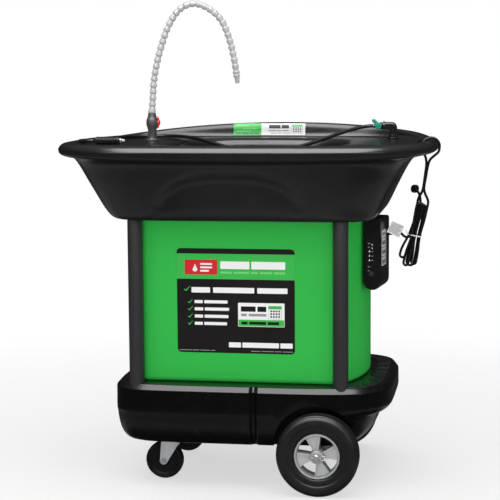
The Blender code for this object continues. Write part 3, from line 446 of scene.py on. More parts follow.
FINISH = {
    "sink": surface("sink_plastic", (0.0100, 0.0100, 0.0110), 0.22, grain=420, bump=0.08,
                    relief=0.0006, scuffs=0.15, blotch=5, spread=0.25),
    "base": surface("base_plastic", (0.0022, 0.0022, 0.0024), 0.22, specular=0.36, grain=420, bump=0.06,
                    relief=0.0006, scuffs=0.25, blotch=5, spread=0.2),
    "tread": surface("tread_plastic", (0.006, 0.006, 0.0065), 0.42, specular=0.4, grain=700, bump=0.25,
                     relief=0.0008, scuffs=0.4, worn=0.5),
    "green": surface("tank_plastic", (0.027, 0.455, 0.062), 0.46, specular=0.25, grain=600, bump=0.05,
                     relief=0.0006, spread=0.03, blotch=3, rough_spread=0.04),
    "post": surface("post_paint", (0.024, 0.024, 0.026), 0.40, grain=1600, bump=0.16,
                    relief=0.0004, spread=0.08, stretch=(1, 1, 0.4)),
    "rubber": surface("tyre_rubber_worn", (0.0090, 0.0090, 0.0095), 0.38, specular=0.42, grain=900,
                      bump=0.12,
                      relief=0.0005, spread=0.25, blotch=14, scuffs=0.4),
    "hub": surface("hub_plastic", (0.31, 0.315, 0.32), 0.36, grain=700, bump=0.06, spread=0.05,
                   worn=0.6),
    "zinc": surface("zinc_plate", (0.56, 0.57, 0.585), 0.36, metallic=0.30, grain=500, bump=0.05,
                    spread=0.10,
                    blotch=60, rough_spread=0.10, stretch=(1, 1, 0.25)),
    "steel": surface("polished_steel", (0.55, 0.55, 0.56), 0.22, metallic=0.6, grain=500, bump=0.03,
                     spread=0.05, blotch=50, rough_spread=0.08),
    "caster": surface("caster_plastic", (0.0045, 0.0045, 0.0048), 0.36, specular=0.45, grain=900, bump=0.08,
                      spread=0.2, scuffs=0.3),
    "valve": surface("valve_plastic", (0.060, 0.060, 0.063), 0.42, grain=900, bump=0.10, spread=0.1,
                     worn=0.4),
    "red": surface("lever_red_plastic", (0.80, 0.028, 0.012), 0.30, spread=0.05, grain=900),
    "teal": surface("lever_teal_plastic", (0.0, 0.27, 0.18), 0.34, spread=0.08, grain=900, worn=0.3),
    "arm": surface("arm_plastic", (0.50, 0.505, 0.51), 0.26, spread=0.05, blotch=40, grain=1200,
                   bump=0.05),
    "hose": corded("hose_rubber", (0.0065, 0.0065, 0.0070), 0.34, 700),
    "elbow": surface("elbow_plastic", (0.0075, 0.0075, 0.008), 0.26, grain=900, bump=0.08),
    "box": surface("box_plastic", (0.0060, 0.0060, 0.0066), 0.34, specular=0.45, grain=1300, bump=0.14,
                   spread=0.15),
    "cord": corded("cord_jacket", (0.0045, 0.0045, 0.0048), 0.38, 1400),
    "tie": surface("tie_paper", (0.80, 0.79, 0.76), 0.55, grain=1500, bump=0.2),
    "grate": surface("grate_plastic", (0.09, 0.09, 0.095), 0.50, grain=900, bump=0.10),
    "mat": surface("filter_fibre", (0.60, 0.60, 0.55), 0.95, grain=260, bump=0.9, relief=0.002, spread=0.15,
                   sheen=0.3),
    "pump": surface("pump_plastic", (0.018, 0.028, 0.055), 0.40, grain=900, bump=0.08),
    "pipe": surface("pipe_vinyl", (0.55, 0.56, 0.54), 0.24, grain=900, bump=0.02, subsurface=0.3),
    "ink_black": surface("print_black", (0.010, 0.008, 0.009), 0.30, spread=0.1, bump=0.02),
    "ink_white": surface("print_white", (0.86, 0.86, 0.86), 0.32, spread=0.02, bump=0.02),
    "ink_green": surface("print_green", (0.035, 0.46, 0.066), 0.32, spread=0.03, bump=0.02),
    "ink_lime": surface("print_light_green", (0.16, 0.62, 0.17), 0.32, spread=0.05, bump=0.02),
    "ink_red": surface("print_red", (0.62, 0.010, 0.018), 0.32, spread=0.04, bump=0.02),
    "ink_grey": surface("print_grey", (0.30, 0.30, 0.30), 0.35, spread=0.04, bump=0.02),
}


# ---------------------------------------------------------------- camera, light and floor

CAMERA_PLACE = Vector((0.657, -3.95, 1.049))
CAMERA_YAW = 0.166
CAMERA_PITCH = -0.119
CAMERA_ROLL = -0.007
CAMERA_LENS = 112.53
SENSOR = 36.0


def make_camera():
    forward = Vector((-math.sin(CAMERA_YAW) * math.cos(CAMERA_PITCH),
                      math.cos(CAMERA_YAW) * math.cos(CAMERA_PITCH), math.sin(CAMERA_PITCH)))
    level = Vector((math.cos(CAMERA_YAW), math.sin(CAMERA_YAW), 0))
    up = level.cross(forward)
    right = math.cos(CAMERA_ROLL) * level + math.sin(CAMERA_ROLL) * up
    upward = -math.sin(CAMERA_ROLL) * level + math.cos(CAMERA_ROLL) * up
    turn = Matrix((right, upward, -forward)).transposed()
    data = bpy.data.cameras.new("photo_view")
    data.lens = CAMERA_LENS
    data.sensor_width = SENSOR
    data.clip_end = 50
    camera = link("photo_view", data)
    camera.matrix_world = Matrix.Translation(CAMERA_PLACE) @ turn.to_4x4()
    bpy.context.scene.camera = camera


def softbox(name, place_at, target, size, radiance, mirrored=True, shining=True):
    """A rectangular light of even radiance, facing a target. Not mirrored, it shows in no reflection;
    not shining, it shows in reflections only."""
    data = bpy.data.lights.new(name, "AREA")
    data.shape = "RECTANGLE"
    data.size, data.size_y = size
    data.energy = radiance * math.pi * size[0] * size[1]
    lamp = link(name, data)
    lamp.visible_glossy = mirrored
    lamp.visible_diffuse = shining
    lamp.location = place_at
    aim = Vector(target) - Vector(place_at)
    lamp.rotation_euler = aim.to_track_quat("-Z", "Y").to_euler()


AMBIENT = 0.36


def make_world():
    """White behind the object, even for diffuse light, and a dark horizon in reflections."""
    world = bpy.data.worlds.new("studio")
    world.use_nodes = True
    nodes = world.node_tree.nodes
    links = world.node_tree.links
    nodes.clear()
    out = nodes.new("ShaderNodeOutputWorld")
    seen = nodes.new("ShaderNodeBackground")
    seen.inputs["Color"].default_value = (1, 1, 1, 1)
    seen.inputs["Strength"].default_value = 1.0
    around = nodes.new("ShaderNodeBackground")
    where = nodes.new("ShaderNodeTexCoord")
    split = nodes.new("ShaderNodeSeparateXYZ")
    height = nodes.new("ShaderNodeMapRange")
    height.inputs["From Min"].default_value = -1.0
    height.inputs["From Max"].default_value = 1.0
    ramp = nodes.new("ShaderNodeValToRGB")
    stops = ((0.0, 0.02), (0.18, 0.06), (0.24, 0.34), (0.30, 0.34), (0.35, 0.05), (0.58, 0.02),
             (0.75, 0.08),
             (1.0, 0.45))
    while len(ramp.color_ramp.elements) < len(stops):
        ramp.color_ramp.elements.new(0.5)
    for element, (position, value) in zip(ramp.color_ramp.elements, stops):
        element.position = position
        element.color = (value, value, value, 1)
    links.new(where.outputs["Generated"], split.inputs["Vector"])
    links.new(split.outputs["Z"], height.inputs["Value"])
    links.new(height.outputs["Result"], ramp.inputs["Fac"])
    links.new(ramp.outputs["Color"], around.inputs["Color"])
    even = nodes.new("ShaderNodeBackground")
    even.inputs["Color"].default_value = (1, 1, 1, 1)
    even.inputs["Strength"].default_value = AMBIENT
    path = nodes.new("ShaderNodeLightPath")
    softly = nodes.new("ShaderNodeMixShader")
    links.new(path.outputs["Is Diffuse Ray"], softly.inputs["Fac"])
    links.new(around.outputs["Background"], softly.inputs[1])
    links.new(even.outputs["Background"], softly.inputs[2])
    mix = nodes.new("ShaderNodeMixShader")
    links.new(path.outputs["Is Camera Ray"], mix.inputs["Fac"])
    links.new(softly.outputs["Shader"], mix.inputs[1])
    links.new(seen.outputs["Background"], mix.inputs[2])
    links.new(mix.outputs["Shader"], out.inputs["Surface"])
    bpy.context.scene.world = world


FLOOR_RADIUS = 3.2


def make_floor():
    """A pale disc that fades into the white background."""
    build = bmesh.new()
    bmesh.ops.create_circle(build, cap_ends=True, radius=FLOOR_RADIUS, segments=96)
    floor = mesh_piece("floor", build)
    floor.location.z = -0.0004
    material = bpy.data.materials.new("pale_floor")
    material.use_nodes = True
    nodes = material.node_tree.nodes
    links = material.node_tree.links
    shader = nodes["Principled BSDF"]
    shader.inputs["Roughness"].default_value = 0.9
    shader.inputs["Specular IOR Level"].default_value = 0.0
    shader.inputs["Base Color"].default_value = (0.86, 0.86, 0.86, 1)
    where = nodes.new("ShaderNodeTexCoord")
    length = nodes.new("ShaderNodeVectorMath")
    length.operation = "LENGTH"
    fade = nodes.new("ShaderNodeMapRange")
    fade.interpolation_type = "SMOOTHSTEP"
    fade.inputs["From Min"].default_value = 0.9
    fade.inputs["From Max"].default_value = 2.2
    fade.inputs["To Min"].default_value = 0.40
    fade.inputs["To Max"].default_value = 0.0
    links.new(where.outputs["Object"], length.inputs[0])
    links.new(length.outputs["Value"], fade.inputs["Value"])
    links.new(fade.outputs["Result"], shader.inputs["Alpha"])
    floor.data.materials.append(material)
    floor.visible_glossy = False


def make_stage():
    make_camera()
    make_world()
    make_floor()
    middle = (0.0, 0.0, 0.6)
    softbox("overhead", (0.0, -1.5, 3.0), (0, 0, 0.6), (3.4, 2.6), 8.2, shining=False)
    softbox("top_light", (0.0, -0.6, 3.2), (0, 0, 0.6), (3.0, 3.0), 2.6, mirrored=False)
    softbox("front_left", (-2.6, -3.6, 2.5), middle, (1.4, 1.6), 2.0)
    softbox("front_right", (3.0, -3.2, 2.3), middle, (1.2, 1.6), 2.0)
    softbox("back_left", (-2.4, 2.8, 2.4), middle, (1.6, 1.6), 3.0, mirrored=False)
    softbox("front_fill", (0.4, -4.6, 0.7), (0, 0, 0.5), (3.4, 1.5), 5.5, mirrored=False)
    softbox("side_fill", (3.6, -0.6, 0.8), (0, 0, 0.5), (1.8, 1.5), 3.0, mirrored=False)
    bpy.context.scene.view_settings.view_transform = "Standard"


# ---------------------------------------------------------------- cords

HOSE_ROUTE = [
    (-0.3682, -0.1725, 0.8603), (-0.384, -0.171, 0.8595), (-0.402, -0.160, 0.858), (-0.414, -0.134, 0.8575),
    (-0.417, -0.095, 0.8565), (-0.413, -0.045, 0.8555), (-0.404, 0.010, 0.8552), (-0.392, 0.065, 0.8552),
    (-0.373, 0.120, 0.8552), (-0.342, 0.168, 0.8552), (-0.300, 0.192, 0.8552), (-0.256, 0.188, 0.8552),
    (-0.219, 0.158, 0.8555), (-0.184, 0.112, 0.8553), (-0.148, 0.064, 0.8525), (-0.105, 0.022, 0.845),
    (-0.053, -0.010, 0.835), (0.005, -0.023, 0.828), (0.062, -0.015, 0.828), (0.114, 0.010, 0.835),
    (0.160, 0.046, 0.847), (0.201, 0.083, 0.861), (0.238, 0.116, 0.873), (0.270, 0.139, 0.8807),
    (0.2905, 0.1490, 0.8835), (0.3003, 0.150, 0.884),
]

# The power cord's hank: narrow turns in layers along Y. Each bend has its two places across the hank
# and its height from the middle; the cord goes up a turn's left side and down its right side.
HANK_LAYER = 0.0069
TOP_BENDS = [(-0.0118, 0.0020, 0.0760), (-0.0045, 0.0118, 0.0725), (-0.0100, 0.0050, 0.0750),
             (-0.0075, 0.0085, 0.0710)]
BOTTOM_BENDS = [(-0.0030, -0.0152, -0.0700), (0.0152, 0.0032, -0.0640), (-0.0150, -0.0290, -0.0530),
                (0.0095, -0.0090, -0.0670)]
TIE_LEVEL = 0.002
TIE_SPREAD = 0.030
TIE_SQUEEZE = 0.20
STRAND_STEPS = 14
BEND_STEPS = 9
BEND_FULLNESS = 1.15
STRAND_OFFSET = 0.0042


def hank_point(across, upward, y):
    """A point of the leaning hank, from its distances across and up it."""
    x = HANK_CENTRE.x + across * math.cos(HANK_LEAN) + upward * math.sin(HANK_LEAN)
    z = HANK_CENTRE.z - across * math.sin(HANK_LEAN) + upward * math.cos(HANK_LEAN)
    return Vector((x, HANK_CENTRE.y + y, z))


def hank_strand(start, end, y0, y1, steps=STRAND_STEPS):
    """One strand of the hank between two places (across, upward), narrowed at the tie."""
    points = []
    for step in range(steps):
        t = step / steps
        upward = start[1] + (end[1] - start[1]) * t
        ease = smoothstep(t)
        across = start[0] + (end[0] - start[0]) * ease
        across *= 1 - TIE_SQUEEZE * math.exp(-((upward - TIE_LEVEL) / TIE_SPREAD) ** 2)
        points.append(hank_point(across, upward, y0 + (y1 - y0) * t))
    return points


def hank_bend(start, end, level, up, y0, y1):
    """A half turn at the top or the bottom of the hank."""
    radius = abs(end - start) / 2
    middle = (start + end) / 2
    points = []
    for step in range(BEND_STEPS):
        t = step / BEND_STEPS
        across = middle + (start - middle) * math.cos(math.pi * t)
        upward = level + (radius if up else -radius) * BEND_FULLNESS * math.sin(math.pi * t)
        points.append(hank_point(across, upward, y0 + (y1 - y0) * t))
    return points


def power_cord_route():
    """From the strain relief through the hank's turns, over the rim, back into the hank, to the plug."""
    front = -2 * HANK_LAYER
    back = 2 * HANK_LAYER
    route = [Vector((0.3768, -0.0240, 0.6220)), Vector((0.3815, -0.0248, 0.6222)),
             Vector((0.3870, -0.0275, 0.6200)),
             Vector((0.3935, -0.0315, 0.6145)), Vector((0.4010, -0.0360, 0.6120)),
             Vector((0.4075, -0.0385, 0.6145))]
    place_at = (-0.0110, 0.012)
    y = front
    for turn, (top, bottom) in enumerate(zip(TOP_BENDS, BOTTOM_BENDS)):
        y = front + turn * HANK_LAYER
        route += hank_strand(place_at, (top[0], top[2]), y, y, STRAND_STEPS if turn else 7)
        route += hank_bend(top[0], top[1], top[2], True, y, y + 0.25 * HANK_LAYER)
        route += hank_strand((top[1], top[2]), (bottom[0], bottom[2]), y + 0.25 * HANK_LAYER,
                             y + 0.35 * HANK_LAYER)
        route += hank_bend(bottom[0], bottom[1], bottom[2], False, y + 0.35 * HANK_LAYER, y + HANK_LAYER)
        place_at = (bottom[1], bottom[2])
    route += hank_strand(place_at, (-0.0118, 0.0780), back, back)
    rising = HANK_CENTRE.y - STRAND_OFFSET
    falling = HANK_CENTRE.y + STRAND_OFFSET
    route += [Vector((0.4262, -0.0130, 0.7000)), Vector((0.4290, -0.0190, 0.7105)),
              Vector((0.4360, -0.0265, 0.7225))]
    route += [Vector((x, rising, z)) for x, z in ((0.4405, 0.7350), (0.4447, 0.7650), (0.4482, 0.7930),
                                                  (0.4470, 0.8100), (0.4415, 0.8240))]
    for step in range(13):
        turn = math.pi * (1 - step / 12)
        y = rising + (falling - rising) * step / 12
        around = HANGER_RADIUS * Vector((math.cos(turn), 0, math.sin(turn)))
        route.append(Vector((HANGER.x, y, HANGER.z)) + around)
    route += [Vector((x, falling, z)) for x, z in ((0.4780, 0.8260), (0.4680, 0.8165), (0.4570, 0.8060),
                                                   (0.4515, 0.7900), (0.4470, 0.7640), (0.4425, 0.7350),
                                                   (0.4455, 0.7200))]
    route += [Vector((0.4500, -0.0170, 0.7095)), Vector((0.4525, -0.0120, 0.6990))]
    route += hank_strand((0.0140, 0.0740), (0.0130, -0.0620), back, back)
    route += hank_bend(0.0130, 0.0000, -0.0620, False, back, back)
    route += hank_strand((0.0000, -0.0620), (-0.0038, 0.0760), back, back)
    route += [Vector(point) for point in (
        (0.4330, -0.0085, 0.7000), (0.4318, -0.0075, 0.7110), (0.4290, -0.0070, 0.7205),
        (0.4235, -0.0055, 0.7270),
        (0.4190, -0.0020, 0.7290), (0.4165, 0.0055, 0.7290))]
    return smooth_route(route, 0.004)


def make_brush_hose():
    points = smooth_route(reversed(HOSE_ROUTE), 0.006)
    hose = wire("feed_hose", points, HOSE_DIAMETER / 2, 5)
    place(hose, "stand", "hose_black", FINISH["hose"], "brush_hose")
    return hose, points


def make_power_cord():
    points = power_cord_route()
    cord = wire("mains_cord", points, CORD_DIAMETER / 2, 4)
    place(cord, "stand", "cord_black", FINISH["cord"],
          "power_cord_lead", "power_cord_hank", "power_cord_loop", "power_cord_tail")
    return cord, points


def make_tie():
    """The paper-covered wire around the hank's waist, with its two ends twisted together."""
    half_x = 0.0106 + CORD_DIAMETER / 2 + 0.0008
    half_y = 2.4 * HANK_LAYER + CORD_DIAMETER / 2
    loop = []
    for step in range(40):
        turn = math.tau * step / 40
        x = math.copysign(abs(math.cos(turn)) ** 0.5, math.cos(turn)) * half_x
        y = math.copysign(abs(math.sin(turn)) ** 0.5, math.sin(turn)) * half_y + 0.0015
        loop.append((x, y))
    build = bmesh.new()
    rings = []
    for index, (x, y) in enumerate(loop):
        after = loop[(index + 1) % len(loop)]
        before = loop[index - 1]
        out = Vector((after[1] - before[1], before[0] - after[0])).normalized()
        ring = []
        for across, height in ((0, -0.0015), (0.0006, -0.0013), (0.0010, 0), (0.0006, 0.0013), (0, 0.0015)):
            place_at = hank_point(x + out.x * across, TIE_LEVEL + height, y + out.y * across)
            ring.append(place_at)
        rings.append(ring)
    add_rings(build, rings, closed=True)
    twist = [hank_point(-half_x - 0.001 - 0.010 * t, TIE_LEVEL + 0.012 * t * t, -half_y + 0.004 - 0.010 * t)
             for t in (step / 24 for step in range(25))]
    for phase in (0, math.pi):
        strand = []
        for index, point in enumerate(twist):
            turn = phase + index * 0.9
            strand.append(point + 0.0010 * Vector((0, math.cos(turn), math.sin(turn))))
        swept_tube(build, strand, [0.0008] * len(strand), 8)
    return place(mesh_piece("twist_tie", build), "stand", "tag_silver", FINISH["tie"])


# ---------------------------------------------------------------- the sink

def oval_ring(level, left, right, depth, power_left, power_right, per_quarter):
    """A rounded plan outline with evenly spaced points in each quarter."""
    points = []
    for quarter in range(4):
        reach, power = (right, power_right) if quarter in (0, 3) else (left, power_left)
        fine = []
        for step in range(121):
            turn = math.pi / 2 * (quarter + step / 120)
            x = math.copysign(reach * abs(math.cos(turn)) ** (2 / power), math.cos(turn))
            y = math.copysign(depth * abs(math.sin(turn)) ** (2 / power), math.sin(turn))
            fine.append(Vector((x, y, level)))
        lengths = [0.0]
        for a, b in zip(fine, fine[1:]):
            lengths.append(lengths[-1] + (b - a).length)
        index = 0
        for step in range(per_quarter):
            wanted = lengths[-1] * step / per_quarter
            while lengths[index + 1] < wanted:
                index += 1
            share = (wanted - lengths[index]) / max(1e-9, lengths[index + 1] - lengths[index])
            points.append(fine[index].lerp(fine[index + 1], share))
    return points


def smoothstep(value):
    value = min(1.0, max(0.0, value))
    return value * value * (3 - 2 * value)


def splash_height(x, y):
    """How far the raised back edge stands above the rim."""
    arch = max(0.0, 0.036 - 0.17 * (x - 0.05) ** 2)
    return arch * smoothstep((y - 0.05) / 0.15)


# Front depth, level, reach left and right, roundness left and right, share of the raised back and of
# the end rise, rounding
SINK_LEVELS = [
    (0.244, 0.669, 0.292, 0.319, 8.0, 8.0, 0, 0, 0.004),
    (0.2575, 0.6692, 0.322, 0.333, 6.4, 6.4, 0, 0, 0.009),
    (0.2655, 0.688, 0.348, 0.347, 5.0, 5.0, 0, 0, 0.020),
    (0.275, 0.750, 0.391, 0.377, 4.2, 4.2, 0, 0, 0.040),
    (0.2825, 0.800, 0.4305, 0.408, 3.6, 3.4, 0, 1, 0.030),
    (0.2850, 0.8120, 0.446, 0.434, 3.7, 3.15, 0, 1, 0.006),
    (0.2940, 0.8125, 0.466, 0.462, 3.8, 3.0, 0, 1, 0.006),
    (0.3014, 0.8180, 0.4742, 0.4742, 3.8, 3.0, 0, 0.9, 0.006),
    (0.3026, 0.8365, 0.4765, 0.4765, 3.8, 3.0, 0.4, 0.2, 0.004),
    (0.2970, 0.8466, 0.4715, 0.4715, 3.8, 3.0, 0.7, 0.1, 0.006),
    (0.2880, 0.8530, 0.4640, 0.4640, 3.8, 3.0, 0.95, 0, 0.008),
    (0.2780, 0.8538, 0.4500, 0.4500, 3.8, 3.0, 1, 0, 0.010),
    (0.2665, 0.8515, 0.4350, 0.4350, 3.8, 3.0, 0.95, 0, 0.005),
    (0.2620, 0.8502, 0.4310, 0.4310, 3.8, 3.0, 0, 0, 0.005),
    (0.2260, 0.8500, 0.2070, 0.2640, 3.2, 3.2, 0, 0, 0.012),
    (0.2130, 0.8380, 0.1920, 0.2490, 3.2, 3.2, 0, 0, 0.012),
    (0.1950, 0.7220, 0.1720, 0.2290, 3.4, 3.4, 0, 0, 0.014),
    (0.1740, 0.7055, 0.1490, 0.2060, 3.4, 3.4, 0, 0, 0.014),
    (0.0330, 0.7000, 0.0330, 0.0330, 2.0, 2.0, 0, 0, 0.003),
    (0.0300, 0.6980, 0.0300, 0.0300, 2.0, 2.0, 0, 0, 0.002),
    (0.0300, 0.6690, 0.0300, 0.0300, 2.0, 2.0, 0, 0, 0.001),
]
SINK_QUARTER = 52
SINK_LONGEST = 0.0095
RIM_END_RISE = 0.013

# The shallow domed recess in the front wall
DOME_X = -0.012
DOME_HALF = 0.178
DOME_FOOT = 0.690
DOME_RISE = 0.088
DOME_EDGE = 0.034
DOME_DEPTH = 0.0050


def dome_push(x, z):
    """How far the front wall is set back at a place."""
    side = (x - DOME_X) / DOME_HALF
    if abs(side) >= 1 or z > 0.80:
        return 0.0
    crown = DOME_FOOT + DOME_RISE * math.sqrt(max(0.0, 1 - abs(side) ** 2.6))
    inside = smoothstep((crown - z) / DOME_EDGE + 0.5)
    return DOME_DEPTH * inside * max(0.0, min(1.0, (z - 0.672) / (crown - 0.672 + 1e-6)))


def make_sink():
    rows = filled_in(rounded(SINK_LEVELS, 8, 5, closed=True), SINK_LONGEST, closed=True)
    rings = []
    for depth, level, left, right, power_left, power_right, raised, risen, _ in rows:
        ring = oval_ring(level, left, right, depth, power_left, power_right, SINK_QUARTER)
        for point in ring:
            end_share = (abs(point.x) / SINK_HALF_LENGTH) ** 4
            outer_wall = level < 0.81 and depth > 0.235
            if outer_wall and point.y < 0:
                point.y += dome_push(point.x, level) * min(1.0, abs(point.y) / 0.2)
            point.z += raised * splash_height(point.x, point.y) + risen * RIM_END_RISE * end_share
        rings.append(ring)
    sink = skin("sink_moulding", rings, closed=True, angle=50)
    tools = []
    slot = bmesh.new()
    outline = round_outline(0.4245, -0.0497, 0.4485, 0.0497, 0.0105)
    add_rings(slot, [[Vector((x, y, level)) for x, y in outline] for level in (0.78, 0.89)])
    tools.append(mesh_piece("slot_tool", slot))
    for end in (-1, 1):
        for side in (-1, 1):
            socket = [(0, -0.02), (POST_RADIUS + 0.0004, -0.02), (POST_RADIUS + 0.0004, SOCKET_DEPTH),
                      (0, SOCKET_DEPTH)]
            tools.append(turned("socket_tool", socket, (end * POST_X, side * POST_Y, SINK_BOTTOM)))
    pipe = [(0, -0.205), (0.0085, -0.205), (0.0085, 0.02), (0, 0.02)]
    tools.append(turned("faucet_tool", pipe, FAUCET))
    slope = ELBOW - Vector((0.2404, 0.15, 0.6657))
    pipe = [(0, -slope.length - 0.02), (0.0085, -slope.length - 0.02), (0.0085, 0.02), (0, 0.02)]
    tools.append(turned("feed_tool", pipe, ELBOW, slope))
    carve(sink, tools)
    resharpen(sink, 50)
    place(sink, "stand", "black_shell", FINISH["sink"], "sink_basin")
    return sink


# ---------------------------------------------------------------- the base

# Front depth, level, reach left, reach right, roundness left and right, rounding
BASE_LEVELS = [
    (0.218, 0.1130, 0.278, 0.275, 7.0, 5.0, 0.004),
    (0.233, 0.1132, 0.294, 0.292, 7.0, 4.7, 0.010),
    (0.2455, 0.1300, 0.3085, 0.3145, 7.0, 4.4, 0.014),
    (0.2520, 0.1550, 0.3160, 0.3320, 7.0, 4.2, 0.020),
    (0.2548, 0.1880, 0.3198, 0.3420, 7.0, 4.4, 0.008),
    (0.2560, 0.1925, 0.3208, 0.3580, 7.0, 4.8, 0.005),
    (0.2562, 0.2050, 0.3210, 0.3730, 7.0, 4.8, 0.008),
    (0.2562, 0.2490, 0.3205, 0.3728, 7.0, 4.8, 0.0015),
    (0.2465, 0.2602, 0.3105, 0.3630, 7.3, 5.2, 0.0025),
    (0.2440, 0.2622, 0.3080, 0.3600, 7.6, 5.6, 0.002),
    (0.2200, 0.2622, 0.2830, 0.3290, 7.6, 5.6, 0.003),
]
BASE_QUARTER = 60
BASE_LONGEST = 0.010
GROOVE_X = 0.042
GROOVE_WIDTH = 0.0125
GROOVE_DEPTH = 0.0085


def groove_push(x):
    """How far the vertical groove sets the front or back wall in."""
    side = abs(x - GROOVE_X) / GROOVE_WIDTH
    return GROOVE_DEPTH * (1 - smoothstep(side))


def make_base():
    rows = filled_in(rounded(BASE_LEVELS, 6, 4), BASE_LONGEST)
    plans = [oval_ring(level, left, right, depth, power_left, power_right, BASE_QUARTER)
             for depth, level, left, right, power_left, power_right, _ in rows]
    crowded = [index for index, (a, b) in enumerate(zip(plans[0], plans[0][1:] + plans[0][:1]))
               if abs((a.x + b.x) / 2 - GROOVE_X) < GROOVE_WIDTH + 0.010 and abs(a.y) > 0.15]
    rings = []
    for plan in plans:
        ring = []
        for index, (a, b) in enumerate(zip(plan, plan[1:] + plan[:1])):
            ring.append(a)
            if index in crowded:
                ring += [a.lerp(b, share) for share in (0.2, 0.4, 0.6, 0.8)]
        for point in ring:
            if abs(point.y) > 0.15:
                push = groove_push(point.x) * (1.0 if abs(point.y) > 0.225 else 0.0)
                point.y -= math.copysign(push, point.y)
        rings.append(ring)
    base = skin("base_moulding", rings, angle=50)
    tools = []
    for side in (-1, 1):
        arch = [(0, 0), (0.114, 0), (0.114, 0.0315), (0.1155, 0.0355), (0.119, 0.0380), (0.125, 0.0392),
                (0.140, 0.0400), (0.140, 0.06), (0, 0.06)]
        tools.append(turned("arch_tool", arch, (WHEEL_X, side * 0.215, WHEEL_RADIUS), (0, side, 0), 96))
        for end in (-1, 1):
            socket = [(0, 0), (POST_RADIUS + 0.0004, 0), (POST_RADIUS + 0.0004, 0.05), (0, 0.05)]
            tools.append(turned("socket_tool", socket,
                                (end * POST_X, side * POST_Y, BASE_TOP - SOCKET_DEPTH)))
    carve(base, tools)
    resharpen(base, 35)
    place(base, "stand", "black_shell", FINISH["base"], "base_shell")
    make_treads()


TREAD_PADS = 9


def ledge_line(inset):
    """The right end of the base's top in plan, as even points from front to back, set in by a distance."""
    ring = oval_ring(0, 0.307, 0.357 - inset, 0.242 - inset, 5.6, 5.6, 240)
    right_end = ring[720:] + ring[:241]
    return [point for point in right_end if point.x > 0.255]


def make_treads():
    """The raised tread pads on the step, with a small slot at the inner end of each gap."""
    outer = even_points(ledge_line(0.0045), 0.004)
    inner = even_points(ledge_line(0.0400), 0.0035)
    build = bmesh.new()
    for pad in range(TREAD_PADS):
        start = (pad + 0.07) / TREAD_PADS
        end = (pad + 0.93) / TREAD_PADS
        steps = 8
        strip = []
        for step in range(steps + 1):
            share = start + (end - start) * step / steps
            notch = 0.30 if step in (0, steps) else 0.0
            far = outer[round(share * (len(outer) - 1))]
            near = inner[round(share * (len(inner) - 1))]
            strip.append((near.lerp(far, 0.02 + notch * 0.5), near.lerp(far, 0.985)))
        loop = [a for a, _ in strip] + [b for _, b in reversed(strip)]
        middle = sum(loop, Vector()) / len(loop)
        rings = []
        for level, shrink in ((0.2600, 0.0), (0.2634, 0.0), (0.2641, 0.022), (0.2644, 0.055)):
            rings.append([Vector((*point.lerp(middle, shrink).xy, level)) for point in loop])
        add_part(build, rings)
    treads = mesh_piece("step_treads", build, 30)
    place(treads, "stand", "black_shell", FINISH["tread"])


# ---------------------------------------------------------------- posts and tank

def make_posts():
    for end, end_name in ((-1, "left"), (1, "right")):
        for side, side_name in ((-1, "front"), (1, "rear")):
            low = BASE_TOP - SOCKET_DEPTH + 0.0003
            high = SINK_BOTTOM + SOCKET_DEPTH - 0.0003
            profile = [(0, low), (POST_RADIUS, low), (POST_RADIUS, high), (0, high)]
            post = turned(f"tube_post_{side_name}_{end_name}", profile, (end * POST_X, side * POST_Y, 0),
                          sides=64, fillet=0.0012)
            place(post, "stand", "post_black", FINISH["post"], f"post_{side_name}_{end_name}")


def tank_ring(level, inset, corner_steps=10, end_steps=16):
    """The tank's plan: flat front and back, bulging ends and small round corners."""
    half_depth = TANK_HALF_DEPTH - inset
    end_radius = TANK_END_RADIUS - inset
    corner = max(0.016 - inset, 0.003)
    end_centre = TANK_HALF_LENGTH - TANK_END_RADIUS
    corner_x = end_centre + math.sqrt((end_radius - corner) ** 2 - (half_depth - corner) ** 2)
    tangent = math.atan2(-(half_depth - corner), corner_x - end_centre)
    quarter = [(corner_x * share / 8, -half_depth) for share in range(1, 8)]
    for step in range(corner_steps):
        turn = -math.pi / 2 + (tangent + math.pi / 2) * step / (corner_steps - 1)
        quarter.append((corner_x + corner * math.cos(turn), corner - half_depth + corner * math.sin(turn)))
    for step in range(1, end_steps):
        turn = tangent * (1 - step / (end_steps - 0.5))
        quarter.append((end_centre + end_radius * math.cos(turn), end_radius * math.sin(turn)))
    right_end = quarter + [(x, -y) for x, y in reversed(quarter)]
    outline = right_end + [(-x, -y) for x, y in right_end]
    return [Vector((x, y, level)) for x, y in outline]


def make_tank():
    bottom = BASE_TOP + 0.0003
    top = SINK_BOTTOM - 0.0003
    fillet = 0.012
    levels = [(bottom, 0.011)]
    for step in range(1, 8):
        turn = math.pi / 2 * step / 7
        levels.append((bottom + fillet * (1 - math.cos(turn)), 0.011 * (1 - math.sin(turn))))
    heights = [bottom + 0.03 + 0.045 * step for step in range(9)]
    levels += [(height, 0.0) for height in heights if height < top - 0.01]
    levels += [(top - 0.0015, 0.0), (top, 0.0015), (top, 0.019), (top - 0.008, 0.019), (top - 0.008, 0.005),
               (0.45, 0.005), (bottom + 0.006, 0.005)]
    tank = skin("tank_moulding", [tank_ring(*level) for level in levels], angle=40)
    tools = []
    for x, z, radius in ((0.02, 0.310, 0.013), (-0.14, 0.288, 0.012)):
        hole = [(0, 0.18), (radius, 0.18), (radius, 0.22), (0, 0.22)]
        tools.append(turned("hole_tool", hole, (x, 0, z), (0, 1, 0)))
    carve(tank, tools)
    resharpen(tank, 40)
    place(tank, "stand", "tank_green", FINISH["green"], "tank_body")


# ---------------------------------------------------------------- stickers

